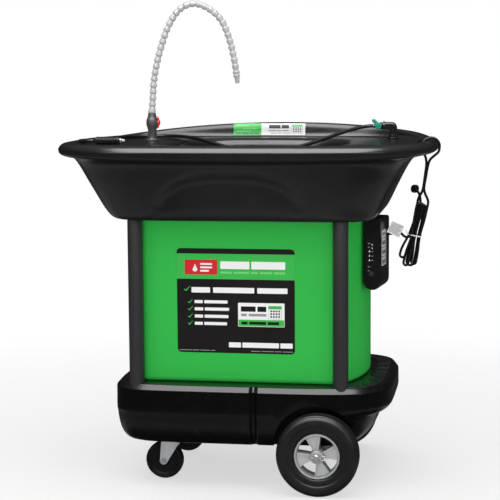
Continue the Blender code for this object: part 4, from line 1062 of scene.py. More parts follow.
class Sticker:
    """Thin printed shapes laid on a surface. Each shape is a row of columns (across, low, high)."""

    def __init__(self, on_surface, longest=0.02, tallest=1.0):
        self.build = bmesh.new()
        self.on_surface = on_surface
        self.longest = longest
        self.tallest = tallest

    def columns(self, columns, level, ink):
        """Adds one shape, its face at a level above the surface."""
        fine = []
        for a, b in zip(columns, columns[1:]):
            parts = max(1, math.ceil((b[0] - a[0]) / self.longest))
            fine += [tuple(p + (q - p) * part / parts for p, q in zip(a, b)) for part in range(parts)]
        fine.append(columns[-1])
        parts = max(1, math.ceil(max(high - low for _, low, high in fine) / self.tallest))
        rows = []
        for across, low, high in fine:
            heights = [low + (high - low) * part / parts for part in range(parts + 1)]
            outline = [(height, 0.0) for height in heights]
            outline += [(height, level) for height in reversed(heights)]
            rows.append([self.build.verts.new(self.on_surface(across, *place_at)) for place_at in outline])
        for a, b in zip(rows, rows[1:]):
            for corner in range(len(a)):
                after = (corner + 1) % len(a)
                face = self.build.faces.new((a[corner], a[after], b[after], b[corner]))
                face.material_index = ink
        for row in (rows[0], rows[-1]):
            self.build.faces.new(row).material_index = ink

    def bar(self, x0, z0, x1, z1, level, ink, radius=0.0):
        steps = 6 if radius else 0
        columns = []
        for step in range(steps + 1):
            turn = math.pi / 2 * step / max(1, steps)
            across = radius * (1 - math.cos(turn))
            rise = radius * (1 - math.sin(turn))
            columns.append((across, rise))
        left = [(x0 + across, z0 + rise, z1 - rise) for across, rise in columns]
        right = [(x1 - across, z0 + rise, z1 - rise) for across, rise in reversed(columns)]
        self.columns(left + right if radius else [(x0, z0, z1), (x1, z0, z1)], level, ink)

    def check(self, x, z, size, level, ink):
        """A check mark whose lower corner is at x, z."""
        thick = size * 0.30
        self.columns([(x - size * 0.38, z + size * 0.30, z + size * 0.42), (x, z, z + thick)], level, ink)
        self.columns([(x, z, z + thick), (x + size * 0.72, z + size * 0.88, z + size)], level, ink)

    def drop(self, x, z, radius, level, ink):
        """A liquid drop standing on its round end."""
        columns = []
        for step in range(17):
            turn = math.pi * step / 16
            across = -math.cos(turn)
            round_part = math.sin(turn) * radius
            peak = radius * 2.2 * (1 - abs(across)) ** 1.25
            columns.append((x + across * radius, z - round_part, z + max(round_part * 0.4, peak)))
        self.columns(columns, level, ink)

    def words(self, x0, x1, z0, z1, level, ink, lengths, gap, radius=0.0):
        """Plain blocks that stand for words, scaled to fill the line."""
        total = sum(lengths) + gap * (len(lengths) - 1)
        scale = (x1 - x0) / total
        at = x0
        for length in lengths:
            self.bar(at, z0, at + length * scale, z1, level, ink, radius)
            at += (length + gap) * scale

    def finish(self, name, body, slot, inks, *replaced):
        piece = mesh_piece(name, self.build, 30, tidy=False)
        fix = bmesh.new()
        fix.from_mesh(piece.data)
        bmesh.ops.remove_doubles(fix, verts=fix.verts, dist=1e-7)
        bmesh.ops.recalc_face_normals(fix, faces=fix.faces)
        fix.to_mesh(piece.data)
        fix.free()
        return place(piece, body, slot, [FINISH[ink] for ink in inks], *replaced)


LAYER = 0.00014
BLACK, WHITE, GREEN, LIME, RED, GREY = range(6)
INKS = ["ink_black", "ink_white", "ink_green", "ink_lime", "ink_red", "ink_grey"]


def make_front_label():
    """The label on the tank's front: plain blocks, check marks and icons in place of its words."""
    front = -TANK_HALF_DEPTH - 0.0002

    def on_tank(across, height, lift):
        return Vector((across, front - lift, height))

    label = Sticker(on_tank, 0.05)
    label.bar(-0.155, 0.337, 0.139, 0.597, 3 * LAYER, BLACK, 0.010)
    label.bar(-0.155, 0.521, 0.139, 0.584, 5 * LAYER, GREEN)
    label.bar(-0.135, 0.532, -0.053, 0.569, 7 * LAYER, RED, 0.002)
    label.drop(-0.109, 0.5455, 0.0062, 9 * LAYER, WHITE)
    for row, length in enumerate((0.030, 0.030, 0.022)):
        z = 0.5585 - 0.0085 * row
        label.bar(-0.096, z - 0.0022, -0.096 + length, z + 0.0022, 9 * LAYER, WHITE, 0.0015)
    label.words(-0.0456, 0.1158, 0.5467, 0.5655, 7 * LAYER, WHITE, [5.2, 6.0], 0.35, 0.002)
    label.words(-0.0456, 0.1158, 0.5352, 0.5402, 7 * LAYER, LIME, [1.7, 2.2, 1, 1.8, 1.6], 0.3)
    label.check(-0.1320, 0.490, 0.0140, 5 * LAYER, GREEN)
    label.words(-0.1185, 0.121, 0.4870, 0.5005, 5 * LAYER, WHITE, [2.0, 4.4, 3.2], 0.32, 0.0015)
    for row, share in enumerate((0.88, 0.92, 0.90, 0.86)):
        z = 0.4600 - 0.0181 * row
        label.check(-0.1240, z, 0.0115, 5 * LAYER, GREEN)
        label.words(-0.111, -0.111 + 0.094 * share, z + 0.0006, z + 0.0082, 5 * LAYER, WHITE,
                    [1.2, 3.4], 0.22, 0.001)
    label.bar(-0.002, 0.4042, 0.1136, 0.4633, 5 * LAYER, WHITE, 0.002)
    label.bar(-0.001, 0.4052, 0.1126, 0.4215, 6 * LAYER, GREEN, 0.0015)
    label.words(0.006, 0.100, 0.4095, 0.4165, 7 * LAYER, BLACK, [1.1, 3.0, 2.0], 0.3)
    label.words(0.0053, 0.0683, 0.4415, 0.4545, 7 * LAYER, BLACK, [2.0, 1.2], 0.25, 0.001)
    label.words(0.0053, 0.0683, 0.4300, 0.4365, 7 * LAYER, GREY, [0.8, 2.4], 0.25)
    calendar_icon(label, 0.0738, 0.4235, 0.0330, 0.0330, 7 * LAYER)
    label.words(-0.0257, 0.1335, 0.3515, 0.3640, 5 * LAYER, WHITE, [1.2, 3.6, 1.2], 0.14, 0.0015)
    label.words(-0.150, -0.060, 0.3420, 0.3436, 5 * LAYER, GREY, [3, 1.6, 2.4, 1.1], 0.3)
    label.words(0.030, 0.1335, 0.3420, 0.3436, 5 * LAYER, GREY, [2, 2.6, 1.4, 2.1], 0.3)
    label.finish("front_label", "stand", "tank_green", INKS)


def calendar_icon(label, x, z, width, height, level):
    """A small calendar: a green heading over rows of days."""
    label.bar(x, z, x + width, z + height, level, GREY, 0.0012)
    label.bar(x + 0.0006, z + 0.0006, x + width - 0.0006, z + height - 0.0006, level + LAYER, WHITE, 0.001)
    label.bar(x + 0.0006, z + height * 0.76, x + width - 0.0006, z + height - 0.0006, level + 2 * LAYER,
              GREEN)
    for row in range(3):
        for column in range(4):
            left = x + width * (0.14 + 0.20 * column)
            low = z + height * (0.12 + 0.21 * row)
            label.bar(left, low, left + width * 0.13, low + height * 0.13, level + 2 * LAYER, BLACK)


def make_splash_sticker(sink):
    """The sticker on the raised back's inner face."""
    graph = bpy.context.evaluated_depsgraph_get()
    tree = BVHTree.FromObject(sink, graph)

    def on_splash(across, height, lift):
        hit, normal, _, _ = tree.ray_cast(Vector((across, 0.10, height)), Vector((0, 1, 0)))
        if hit is None:
            hit, normal = Vector((across, 0.27, height)), Vector((0, -1, 0))
        if normal.y > 0:
            normal = -normal
        return hit + normal * (lift * 1.6 + 0.0005)

    label = Sticker(on_splash, 0.004, 0.002)
    low, high = 0.8545, 0.8850
    label.bar(-0.092, low, 0.1055, high, 2 * LAYER, WHITE)
    label.bar(-0.092, low, -0.015, high, 4 * LAYER, GREEN)
    for row, (start, end) in enumerate(((0.06, 0.55), (0.30, 0.80), (0.10, 0.62))):
        z = high - 0.006 - 0.0075 * row
        label.bar(-0.090 + 0.077 * start, z - 0.0016, -0.090 + 0.077 * end, z + 0.0016, 6 * LAYER, LIME)
    label.words(-0.084, -0.022, low + 0.0030, low + 0.0055, 6 * LAYER, BLACK, [2, 3, 1.5, 2], 0.4)
    label.words(0.006, 0.061, high - 0.0125, high - 0.0035, 6 * LAYER, BLACK, [2.0, 1.3], 0.2)
    label.words(0.004, 0.060, low + 0.0105, low + 0.0130, 6 * LAYER, GREY, [3, 2, 2.4], 0.3)
    label.words(0.010, 0.066, low + 0.0040, low + 0.0060, 6 * LAYER, GREY, [2, 1, 2.4], 0.3)
    calendar_icon(label, 0.068, low + 0.0040, 0.031, 0.0240, 6 * LAYER)
    label.finish("splash_sticker", "stand", "tank_green", INKS)


# ---------------------------------------------------------------- the faucet and its arm

ARM_ROUTE = [
    (-0.268, 0.9228), (-0.2655, 0.955), (-0.262, 1.000), (-0.254, 1.046), (-0.240, 1.096),
    (-0.221, 1.146), (-0.192, 1.187), (-0.154, 1.202), (-0.115, 1.189), (-0.083, 1.160),
    (-0.063, 1.116), (-0.051, 1.068), (-0.045, 1.032), (-0.041, 0.997),
]
ARM_SEGMENTS = 35
ARM_JOINTS = [6, 12, 18, 24, 29]
ARM_SIDES = 28
# One segment: distance from its mouth as a share of the pitch, and radius
BEAD = [(0.02, 0.0070), (0.03, 0.0082), (0.10, 0.0089), (0.22, 0.0090), (0.42, 0.0084),
        (0.62, 0.0076), (0.80, 0.0068), (0.92, 0.0063), (1.00, 0.0061)]
BALL_RADIUS = 0.0060
SOCKET_RADIUS = 0.0071
MOUTH = 0.0006


def make_faucet():
    profile = [
        (0, 0.0003), (0.0170, 0.0003), (0.0170, 0.0030), (0.0150, 0.0046), (0.0118, 0.0052),
        (0.0106, 0.0080), (0.0098, 0.0180), (0.0104, 0.0240), (0.0112, 0.0250), (0.0112, 0.0280),
        (0.0124, 0.0330), (0.0148, 0.0400), (0.0152, 0.0450), (0.0152, 0.0500), (0.0146, 0.0540),
        (0.0126, 0.0590), (0.0112, 0.0620), (0.0112, 0.0650), (0.0104, 0.0660), (0.0101, 0.0722),
        (0, 0.0722),
    ]
    build = bmesh.new()
    add_turned(build, rounded(profile, 0.0012, 3), FAUCET, (0, 0, 1), 56)
    pivot = Vector((FAUCET.x, FAUCET.y, FAUCET_LEVER_Z))
    spindle = rounded([(0, 0.008), (0.0062, 0.008), (0.0062, 0.0154), (0, 0.0154)], 0.0005, 3)
    add_turned(build, spindle, pivot, (1, 0, 0), 32)
    for index in range(6):
        turn = math.tau * index / 6
        out = Vector((math.cos(turn), math.sin(turn), 0))
        rib = FAUCET + out * 0.0112
        spin = Matrix.Translation(rib) @ Matrix.Rotation(turn, 4, "Z")
        box_bmesh(build, (-0.0012, -0.0012, 0.0085), (0.0013, 0.0012, 0.0235), 0.0005, 2, spin)
    body = mesh_piece("faucet_valve", build)
    place(body, "stand", "valve_grey", FINISH["valve"], "faucet_valve_body")

    build = bmesh.new()
    face = 0.0157
    hub = rounded([(0, face), (0.0072, face), (0.0072, face + 0.0036), (0.0058, face + 0.0050),
                   (0, face + 0.0050)],
                  0.0009, 4)
    add_turned(build, hub, pivot, (1, 0, 0), 36)
    rings = []
    for step in range(25):
        reach = -0.0160 + 0.0320 * step / 24
        share = abs(reach) / 0.0160
        half_width = 0.0044 * math.sqrt(max(0.02, 1 - max(0.0, share - 0.6) ** 2 / 0.16))
        inner = face + 0.0004 - 0.0040 * share ** 2
        outer = inner + 0.0034 * math.sqrt(max(0.05, 1 - max(0.0, share - 0.8) ** 2 / 0.04))
        section = round_outline(inner, -half_width, outer, half_width, 0.0008, 3)
        rings.append([pivot + Vector((x, y, reach)) for x, y in section])
    add_part(build, rings)
    lever = mesh_piece("faucet_paddle", build)
    place(lever, "faucet_handle", "lever_red", FINISH["red"], "faucet_lever")


def arm_line():
    points = smooth_route([(x, FAUCET.y, z) for x, z in ARM_ROUTE], 0.001)
    distances = [0.0]
    for a, b in zip(points, points[1:]):
        distances.append(distances[-1] + (b - a).length)
    return points, distances


def arm_station(line, wanted):
    points, distances = line
    share = min(1.0, max(0.0, wanted / distances[-1]))
    index = min(len(points) - 2, max(1, round(share * (len(points) - 1))))
    while index > 1 and distances[index] > wanted:
        index -= 1
    while index < len(points) - 2 and distances[index + 1] < wanted:
        index += 1
    part = (wanted - distances[index]) / (distances[index + 1] - distances[index])
    return points[index].lerp(points[index + 1], part), (points[index + 1] - points[index - 1]).normalized()


def make_arm():
    """Each section's segments are one moulded stack; its ends are the ball and the socket of its joints."""
    line = arm_line()
    pitch = line[1][-1] / ARM_SEGMENTS
    starts = [0] + ARM_JOINTS
    ends = ARM_JOINTS + [ARM_SEGMENTS]
    for number, (start, end) in enumerate(zip(starts, ends), 1):
        last = number == len(starts)
        rings = []

        def ring(distance, radius, offset=0.0, upright=False):
            middle, direction = arm_station(line, distance)
            direction = Vector((0, 0, 1)) if upright else direction
            middle = middle + direction * offset
            rings.append([middle] if radius == 0 else circle(middle, direction, radius, ARM_SIDES))

        if number == 1:
            ring(0, 0, 0.0, True)
            ring(0, 0.0096, 0.0, True)
            ring(0, 0.0100, 0.0010, True)
            ring(0, 0.0100, 0.0050, True)
            ring(0, 0.0092, 0.0062, True)
        else:
            base = start * pitch
            ring(base, 0, SOCKET_RADIUS)
            for turn in range(75, 5, -10):
                angle = math.radians(turn)
                ring(base, SOCKET_RADIUS * math.cos(angle), SOCKET_RADIUS * math.sin(angle))
            ring(base, SOCKET_RADIUS, MOUTH)
        beads = range(start, end - 1 if last else end)
        for bead in beads:
            wide = 1.0 + (0.10 if bead == 0 else 0.0)
            for share, radius in BEAD:
                if bead == 0 and share < 0.4:
                    continue
                if bead == end - 1 and share > 0.8 or last and bead == end - 2 and share > 0.5:
                    continue
                if bead > start and share == 0.02:
                    ring((bead + share) * pitch, 0.0062)
                ring((bead + share) * pitch, radius * wide)
        if last:
            base = (end - 1.45) * pitch
            for offset, radius in ((0.0, 0.0062), (0.0003, 0.0080), (0.0015, 0.0088), (0.0045, 0.0087),
                                   (0.0064, 0.0074), (0.0075, 0.0066), (0.0225, 0.0054), (0.0234, 0.0048),
                                   (0.0234, 0.0034), (0.0100, 0.0030)):
                ring(base, radius, offset)
            ring(base, 0, 0.0100)
        else:
            for turn in (-45, -25, -5, 15, 35, 55, 75):
                angle = math.radians(turn)
                ring(end * pitch, BALL_RADIUS * math.cos(angle), BALL_RADIUS * math.sin(angle))
            ring(end * pitch, 0, BALL_RADIUS)
        section = skin("arm_beads_tip" if last else f"arm_beads_{number}", rings, angle=60)
        node = "arm_nozzle" if last else f"arm_section_{number}"
        place(section, "arm_tip" if last else f"arm_{number}", "arm_grey", FINISH["arm"], node)


# ---------------------------------------------------------------- the brush feed and the brush

def make_brush_feed():
    build = bmesh.new()
    flange = rounded([(0, 0.0003), (0.0155, 0.0003), (0.0155, 0.0038), (0.0125, 0.0050), (0, 0.0050)],
                     0.0008, 3)
    add_turned(build, flange, ELBOW, (0, 0, 1), 40)
    corner_z = ELBOW_LEVEL
    rings = []
    bend = 0.0045
    route = [(ELBOW.x, ELBOW.y, DECK + 0.003), (ELBOW.x, ELBOW.y, corner_z - bend)]
    for step in range(1, 7):
        turn = math.pi / 2 * step / 6
        route.append((ELBOW.x - bend + bend * math.cos(turn), ELBOW.y,
                      corner_z - bend + bend * math.sin(turn)))
    route.append((0.3249, ELBOW.y, corner_z))
    route = [Vector(point) for point in route]
    for index, point in enumerate(route):
        before, after = route[max(0, index - 1)], route[min(len(route) - 1, index + 1)]
        direction = (after - before).normalized()
        side = Vector((0, 1, 0))
        up = direction.cross(side)
        ring = []
        for step in range(32):
            turn = math.tau * step / 32
            square = (abs(math.cos(turn)) ** 4 + abs(math.sin(turn)) ** 4) ** -0.25
            ring.append(point + 0.0098 * square * (math.cos(turn) * side + math.sin(turn) * up))
        rings.append(ring)
    add_part(build, rings)
    for centre, axis, at in ((ELBOW, (0, 0, 1), 0.0075),
                             (Vector((0.3249, ELBOW.y, corner_z)), (1, 0, 0), 0.0035)):
        collar = rounded([(0.0080, at - 0.0030), (0.0114, at - 0.0030), (0.0114, at + 0.0030),
                          (0.0080, at + 0.0030)],
                         0.0008, 3, closed=True)
        add_turned(build, collar, centre, axis, 40, closed=True)
    elbow = mesh_piece("feed_elbow", build)
    place(elbow, "stand", "hose_black", FINISH["elbow"], "hose_elbow")

    build = bmesh.new()
    start = Vector((0.3243, ELBOW.y, corner_z))
    reach = start.x - 0.3022
    body = rounded([(0, 0), (0.0080, 0), (0.0094, 0.0016), (0.0094, 0.0040), (0.0086, 0.0050),
                    (0.0086, 0.0150),
                    (0.0070, 0.0172), (0.0062, 0.0178), (0.0070, 0.0190), (0.0060, 0.0204), (0.0058, reach),
                    (0, reach)], 0.0006, 3)
    add_turned(build, body, start, (-1, 0, 0), 36)
    pivot = Vector((BRUSH_LEVER_X, ELBOW.y, corner_z))
    spindle = rounded([(0, 0.004), (0.0050, 0.004), (0.0050, 0.0114), (0, 0.0114)], 0.0004, 3)
    add_turned(build, spindle, pivot, (0, -1, 0), 28)
    place(mesh_piece("feed_valve", build), "stand", "hose_black", FINISH["elbow"], "brush_valve_body")

    build = bmesh.new()
    face = 0.0118
    hub = rounded([(0, face), (0.0088, face), (0.0088, face + 0.0050), (0.0074, face + 0.0060),
                   (0, face + 0.0060)],
                  0.0008, 4)
    add_turned(build, hub, pivot, (0, -1, 0), 36)
    lobes = [(-0.0050, -0.0050), (-0.0062, 0.0015), (-0.0056, 0.0075), (-0.0040, 0.0100), (-0.0046, 0.0140),
             (-0.0048, 0.0185), (-0.0030, 0.0220), (0.0008, 0.0228), (0.0040, 0.0205), (0.0048, 0.0165),
             (0.0040, 0.0120), (0.0056, 0.0090), (0.0066, 0.0040), (0.0062, -0.0020), (0.0040, -0.0062),
             (-0.0010, -0.0070)]
    fine = smooth_route([(x, 0, z) for x, z in lobes + lobes[:1]], 0.0012)[:-1]
    tilt = Matrix.Translation(pivot) @ Matrix.Rotation(math.radians(-40), 4, "Y")
    outline_solid(build, [(p.x, p.z) for p in fine], -face - 0.0052, -face - 0.0006, tilt, 0.0011, 3)
    lever = mesh_piece("feed_valve_paddle", build)
    place(lever, "brush_valve_handle", "lever_teal", FINISH["teal"], "brush_valve_lever")


BRUSH_RIBS = 15


def make_brush():
    """The flow-through brush: a ribbed grip and a bright ferrule with short bristles."""
    profile = [(0, -0.031), (0.0062, -0.031), (0.0080, -0.0295), (0.0086, -0.0275)]
    for rib in range(BRUSH_RIBS):
        at = -0.0265 + 0.0034 * rib
        profile += [(0.0088, at), (0.0100, at + 0.0008), (0.0100, at + 0.0020), (0.0088, at + 0.0028)]
    profile += [(0.0090, 0.0255), (0.0096, 0.0262), (0.0096, 0.0290), (0.0078, 0.0310), (0, 0.0310)]
    grip = turned("brush_grip", profile, BRUSH, BRUSH_AXIS, 44, fillet=0.0005)
    place(grip, "stand", "hose_black", FINISH["rubber"], "brush_handle")
    start = 0.0313
    ferrule = [(0, start), (0.0054, start), (0.0056, start + 0.0006), (0.0056, start + 0.0032),
               (0.0040, start + 0.0044),
               (0.0034, start + 0.0050), (0.0034, start + 0.0080), (0, start + 0.0080)]
    build = bmesh.new()
    add_turned(build, rounded(ferrule, 0.0004, 3), BRUSH, BRUSH_AXIS, 32)
    steel = mesh_piece("brush_ferrule", build)
    place(steel, "stand", "bright_steel", FINISH["steel"], "brush_nozzle")
    build = bmesh.new()
    across = BRUSH_AXIS.cross(Vector((0, 0, 1))).normalized()
    up = across.cross(BRUSH_AXIS)
    extra = random.Random(5)
    for index in range(46):
        turn = index * 2.399963
        spread = 0.0028 * math.sqrt((index + 0.5) / 46)
        sideways = math.cos(turn) * across + math.sin(turn) * up
        foot = BRUSH + BRUSH_AXIS * (start + 0.0070) + spread * sideways
        lean = extra.uniform(0.05, 0.16) * sideways
        tip = foot + (BRUSH_AXIS + lean) * 0.0048
        swept_tube(build, [foot, foot.lerp(tip, 0.5), tip], [0.00028, 0.00025, 0.00018], 5)
    bristles = mesh_piece("brush_bristles", build)
    place(bristles, "stand", "tag_silver", FINISH["ink_white"])
    return [grip, steel, bristles]


# ---------------------------------------------------------------- the control box, its lead and the tag

BOX_TURN = math.asin(-0.050 / TANK_END_RADIUS)
BOX_THICKNESS = 0.043
BOX_BOTTOM = 0.486
BOX_TOP = 0.665


def box_frame():
    outward = Vector((math.cos(BOX_TURN), math.sin(BOX_TURN), 0))
    touch = Vector((TANK_HALF_LENGTH - TANK_END_RADIUS, 0, 0)) + outward * (TANK_END_RADIUS + 0.0015)
    return Matrix.Translation(touch) @ Matrix.Rotation(BOX_TURN, 4, "Z")


def make_control_box():
    frame_place = box_frame()
    build = bmesh.new()
    outline = round_outline(0.0004, BOX_BOTTOM, BOX_THICKNESS, BOX_TOP, [0.020, 0.020, 0.005, 0.005], 8)
    outline_solid(build, outline, -0.0500, 0.0545, frame_place, 0.0025, 3)
    for x in (0.006, 0.037):
        for z in (0.500, 0.650):
            pad = [(0, 0.0545), (0.0040, 0.0545), (0.0040, 0.0560), (0, 0.0560)]
            add_turned(build, pad, Vector((x, 0, z)), (0, 1, 0), 20, place=frame_place)
    body = mesh_piece("control_housing", build)
    place(body, "stand", "box_black", FINISH["box"], "control_box_body")

    build = bmesh.new()
    front = -0.0580
    # The cover: a raised cap over a recessed panel with a raised frame around it
    outline = round_outline(0.0015, BOX_BOTTOM + 0.002, BOX_THICKNESS - 0.0010, BOX_TOP - 0.001,
                            [0.019, 0.019, 0.004, 0.004], 8)
    outline_solid(build, outline, -0.0540, -0.0503, frame_place, 0.0010, 2)
    cap = round_outline(0.0015, 0.6165, BOX_THICKNESS - 0.0010, BOX_TOP - 0.001,
                        [0.003, 0.003, 0.004, 0.004], 5)
    outline_solid(build, cap, front - 0.0030, -0.0535, frame_place, 0.0016, 3)
    box_bmesh(build, (0.0290, front - 0.0042, 0.6200), (0.0300, front - 0.0020, 0.6610), 0.0004, 2,
              frame_place)
    box_bmesh(build, (0.0015, front - 0.0005, 0.5100), (0.0045, -0.0535, 0.6165), 0.0008, 2, frame_place)
    box_bmesh(build, (0.0345, front - 0.0005, 0.5100), (0.0365, -0.0535, 0.6165), 0.0006, 2, frame_place)
    box_bmesh(build, (0.0395, front - 0.0005, 0.5100), (BOX_THICKNESS - 0.0010, -0.0535, 0.6165), 0.0008, 2,
              frame_place)
    chin = round_outline(0.0015, BOX_BOTTOM + 0.002, BOX_THICKNESS - 0.0010, 0.5170,
                         [0.019, 0.019, 0.002, 0.002], 8)
    outline_solid(build, chin, front, -0.0535, frame_place, 0.0014, 3)
    cover = mesh_piece("control_cover", build)
    hole = turned("button_tool", [(0, -0.01), (0.0064, -0.01), (0.0064, 0.0105), (0, 0.0105)],
                  frame_place @ Vector((0.0215, front, 0.528)), frame_place.to_3x3() @ Vector((0, 1, 0)),
                  40)
    carve(cover, [hole])
    resharpen(cover, 35)
    place(cover, "stand", "box_black", FINISH["box"], "control_box_cover")

    middle = frame_place @ Vector((0.0215, front, 0.528))
    inward = frame_place.to_3x3() @ Vector((0, 1, 0))
    cap = [(0, -0.0018), (0.0030, -0.0020), (0.0050, -0.0024), (0.0060, -0.0014), (0.0060, 0.0055),
           (0, 0.0055)]
    button = turned("start_button", cap, middle, inward, 40, fillet=0.0005)
    place(button, "button", "post_black", FINISH["post"], "power_button")
    make_panel_marks(frame_place)
    make_data_label(frame_place)


def make_panel_marks(frame_place):
    """The recessed panel's small pale icons and lamps."""
    def on_panel(across, height, lift):
        return frame_place @ Vector((across, -0.0542 - lift, height))

    marks = Sticker(on_panel, 0.02)
    marks.bar(0.0062, 0.5190, 0.0328, 0.6145, 2 * LAYER, BLACK, 0.0015)
    for z, width in ((0.6020, 0.0060), (0.5925, 0.0045), (0.5440, 0.0050), (0.5340, 0.0045)):
        marks.bar(0.0120, z, 0.0120 + width, z + 0.0022, 4 * LAYER, GREY, 0.0008)
    for z in (0.5830, 0.5720, 0.5610):
        marks.drop(0.0160, z, 0.0018, 4 * LAYER, WHITE)
        marks.bar(0.0200, z - 0.0008, 0.0260, z + 0.0008, 4 * LAYER, GREY, 0.0005)
    marks.bar(0.0215, 0.5900, 0.0245, 0.5930, 4 * LAYER, WHITE, 0.0012)
    marks.bar(0.0215, 0.5990, 0.0245, 0.6020, 4 * LAYER, WHITE, 0.0012)
    marks.finish("panel_marks", "stand", "box_black", INKS)


def make_data_label(frame_place):
    """The silver label on the box's outer side, with plain lines in place of its print."""
    def on_side(across, height, lift):
        return frame_place @ Vector((BOX_THICKNESS + lift, across, height))

    label = Sticker(on_side, 0.05)
    label.bar(-0.036, 0.5450, 0.018, 0.6330, 2 * LAYER, WHITE, 0.002)
    label.bar(-0.0345, 0.5465, 0.0165, 0.6315, 3 * LAYER, GREY, 0.002)
    extra = random.Random(11)
    for row in range(10):
        z = 0.6240 - 0.0078 * row
        end = 0.013 - extra.uniform(0.0, 0.016)
        label.bar(-0.031, z, end, z + 0.0026, 5 * LAYER, WHITE if row % 3 else BLACK, 0.0005)
    label.finish("data_label", "stand", "tag_silver", INKS)


def make_strain_relief():
    frame_place = box_frame()
    profile = [(0, 0), (0.0088, 0), (0.0088, 0.0028), (0.0072, 0.0036)]
    for rib in range(6):
        at = 0.0044 + 0.0032 * rib
        size = 0.0070 - 0.00036 * rib
        profile += [(size, at), (size, at + 0.0018), (size - 0.0012, at + 0.0020),
                    (size - 0.0012, at + 0.0031)]
    profile += [(0.0046, 0.0240), (0.0046, 0.0250), (0, 0.0250)]
    exit_place = frame_place @ Vector((BOX_THICKNESS + 0.0003, 0.035, 0.622))
    outward = frame_place.to_3x3() @ Vector((1, 0, 0))
    relief = turned("lead_strain_relief", profile, exit_place, outward, 32, fillet=0.0003)
    place(relief, "stand", "cord_black", FINISH["cord"], "cord_strain_relief")


def make_plug():
    """The three-pin plug: a ribbed moulded body, two blades and a round pin."""
    rings = []
    for reach, width, height in ((0.0, 0.0044, 0.0044), (0.002, 0.0056, 0.0056), (0.004, 0.0052, 0.0052),
                                 (0.006, 0.0064, 0.0064), (0.008, 0.0062, 0.0062), (0.011, 0.0090, 0.0086),
                                 (0.014, 0.0102, 0.0098), (0.022, 0.0104, 0.0102), (0.0268, 0.0104, 0.0102),
                                 (0.0284, 0.0094, 0.0092), (0.0290, 0.0080, 0.0080)):
        ring = []
        for step in range(36):
            turn = math.tau * step / 36
            x = math.copysign(abs(math.cos(turn)) ** 0.8, math.cos(turn)) * width
            z = math.copysign(abs(math.sin(turn)) ** 0.8, math.sin(turn)) * height
            ring.append(PLUG + Vector((x, reach, z)))
        rings.append(ring)
    build = bmesh.new()
    add_part(build, rings)
    body = mesh_piece("mains_plug", build)
    place(body, "stand", "cord_black", FINISH["cord"], "power_plug")
    build = bmesh.new()
    for side in (-1, 1):
        low = PLUG + Vector((side * 0.0055 - 0.0008, 0.0270, -0.0010))
        high = PLUG + Vector((side * 0.0055 + 0.0008, 0.0440, 0.0055))
        box_bmesh(build, low, high, 0.0006, 2)
    pin = rounded([(0, 0.027), (0.0022, 0.027), (0.0022, 0.0450), (0, 0.0450)], 0.0015, 4)
    add_turned(build, pin, PLUG + Vector((0, 0, -0.0055)), (0, 1, 0), 20)
    blades = mesh_piece("plug_blades", build)
    place(blades, "stand", "bright_steel", FINISH["steel"])
    return [body, blades]


def make_tag():
    """The flag tag on the lead: a slightly curled film with plain printed lines."""
    tag_place = Matrix.Translation(Vector((0.3725, -0.0350, 0.632)))
    tag_place = tag_place @ Matrix.Rotation(math.radians(25), 4, "Y")

    def on_tag(across, height, lift):
        curl = 0.0035 * (across / 0.017) ** 2 - 0.0012 * (height / 0.016) ** 2
        return tag_place @ Vector((across, -0.0003 - lift - curl, height))

    tag = Sticker(on_tag, 0.003)
    tag.bar(-0.0168, -0.0158, 0.0168, 0.0158, 0.0003, WHITE, 0.0012)
    for row in range(7):
        z = 0.0118 - 0.0038 * row
        tag.bar(-0.0140, z, 0.0135 - 0.0025 * (row % 3), z + 0.0011, 0.0006, GREY)
    return tag.finish("lead_tag", "stand", "tag_silver", INKS, "cord_tag")


# ---------------------------------------------------------------- wheels and casters

BLADE_MIDDLES = [-12, 78, 165, 258]
BLADE_HALF = 21.5


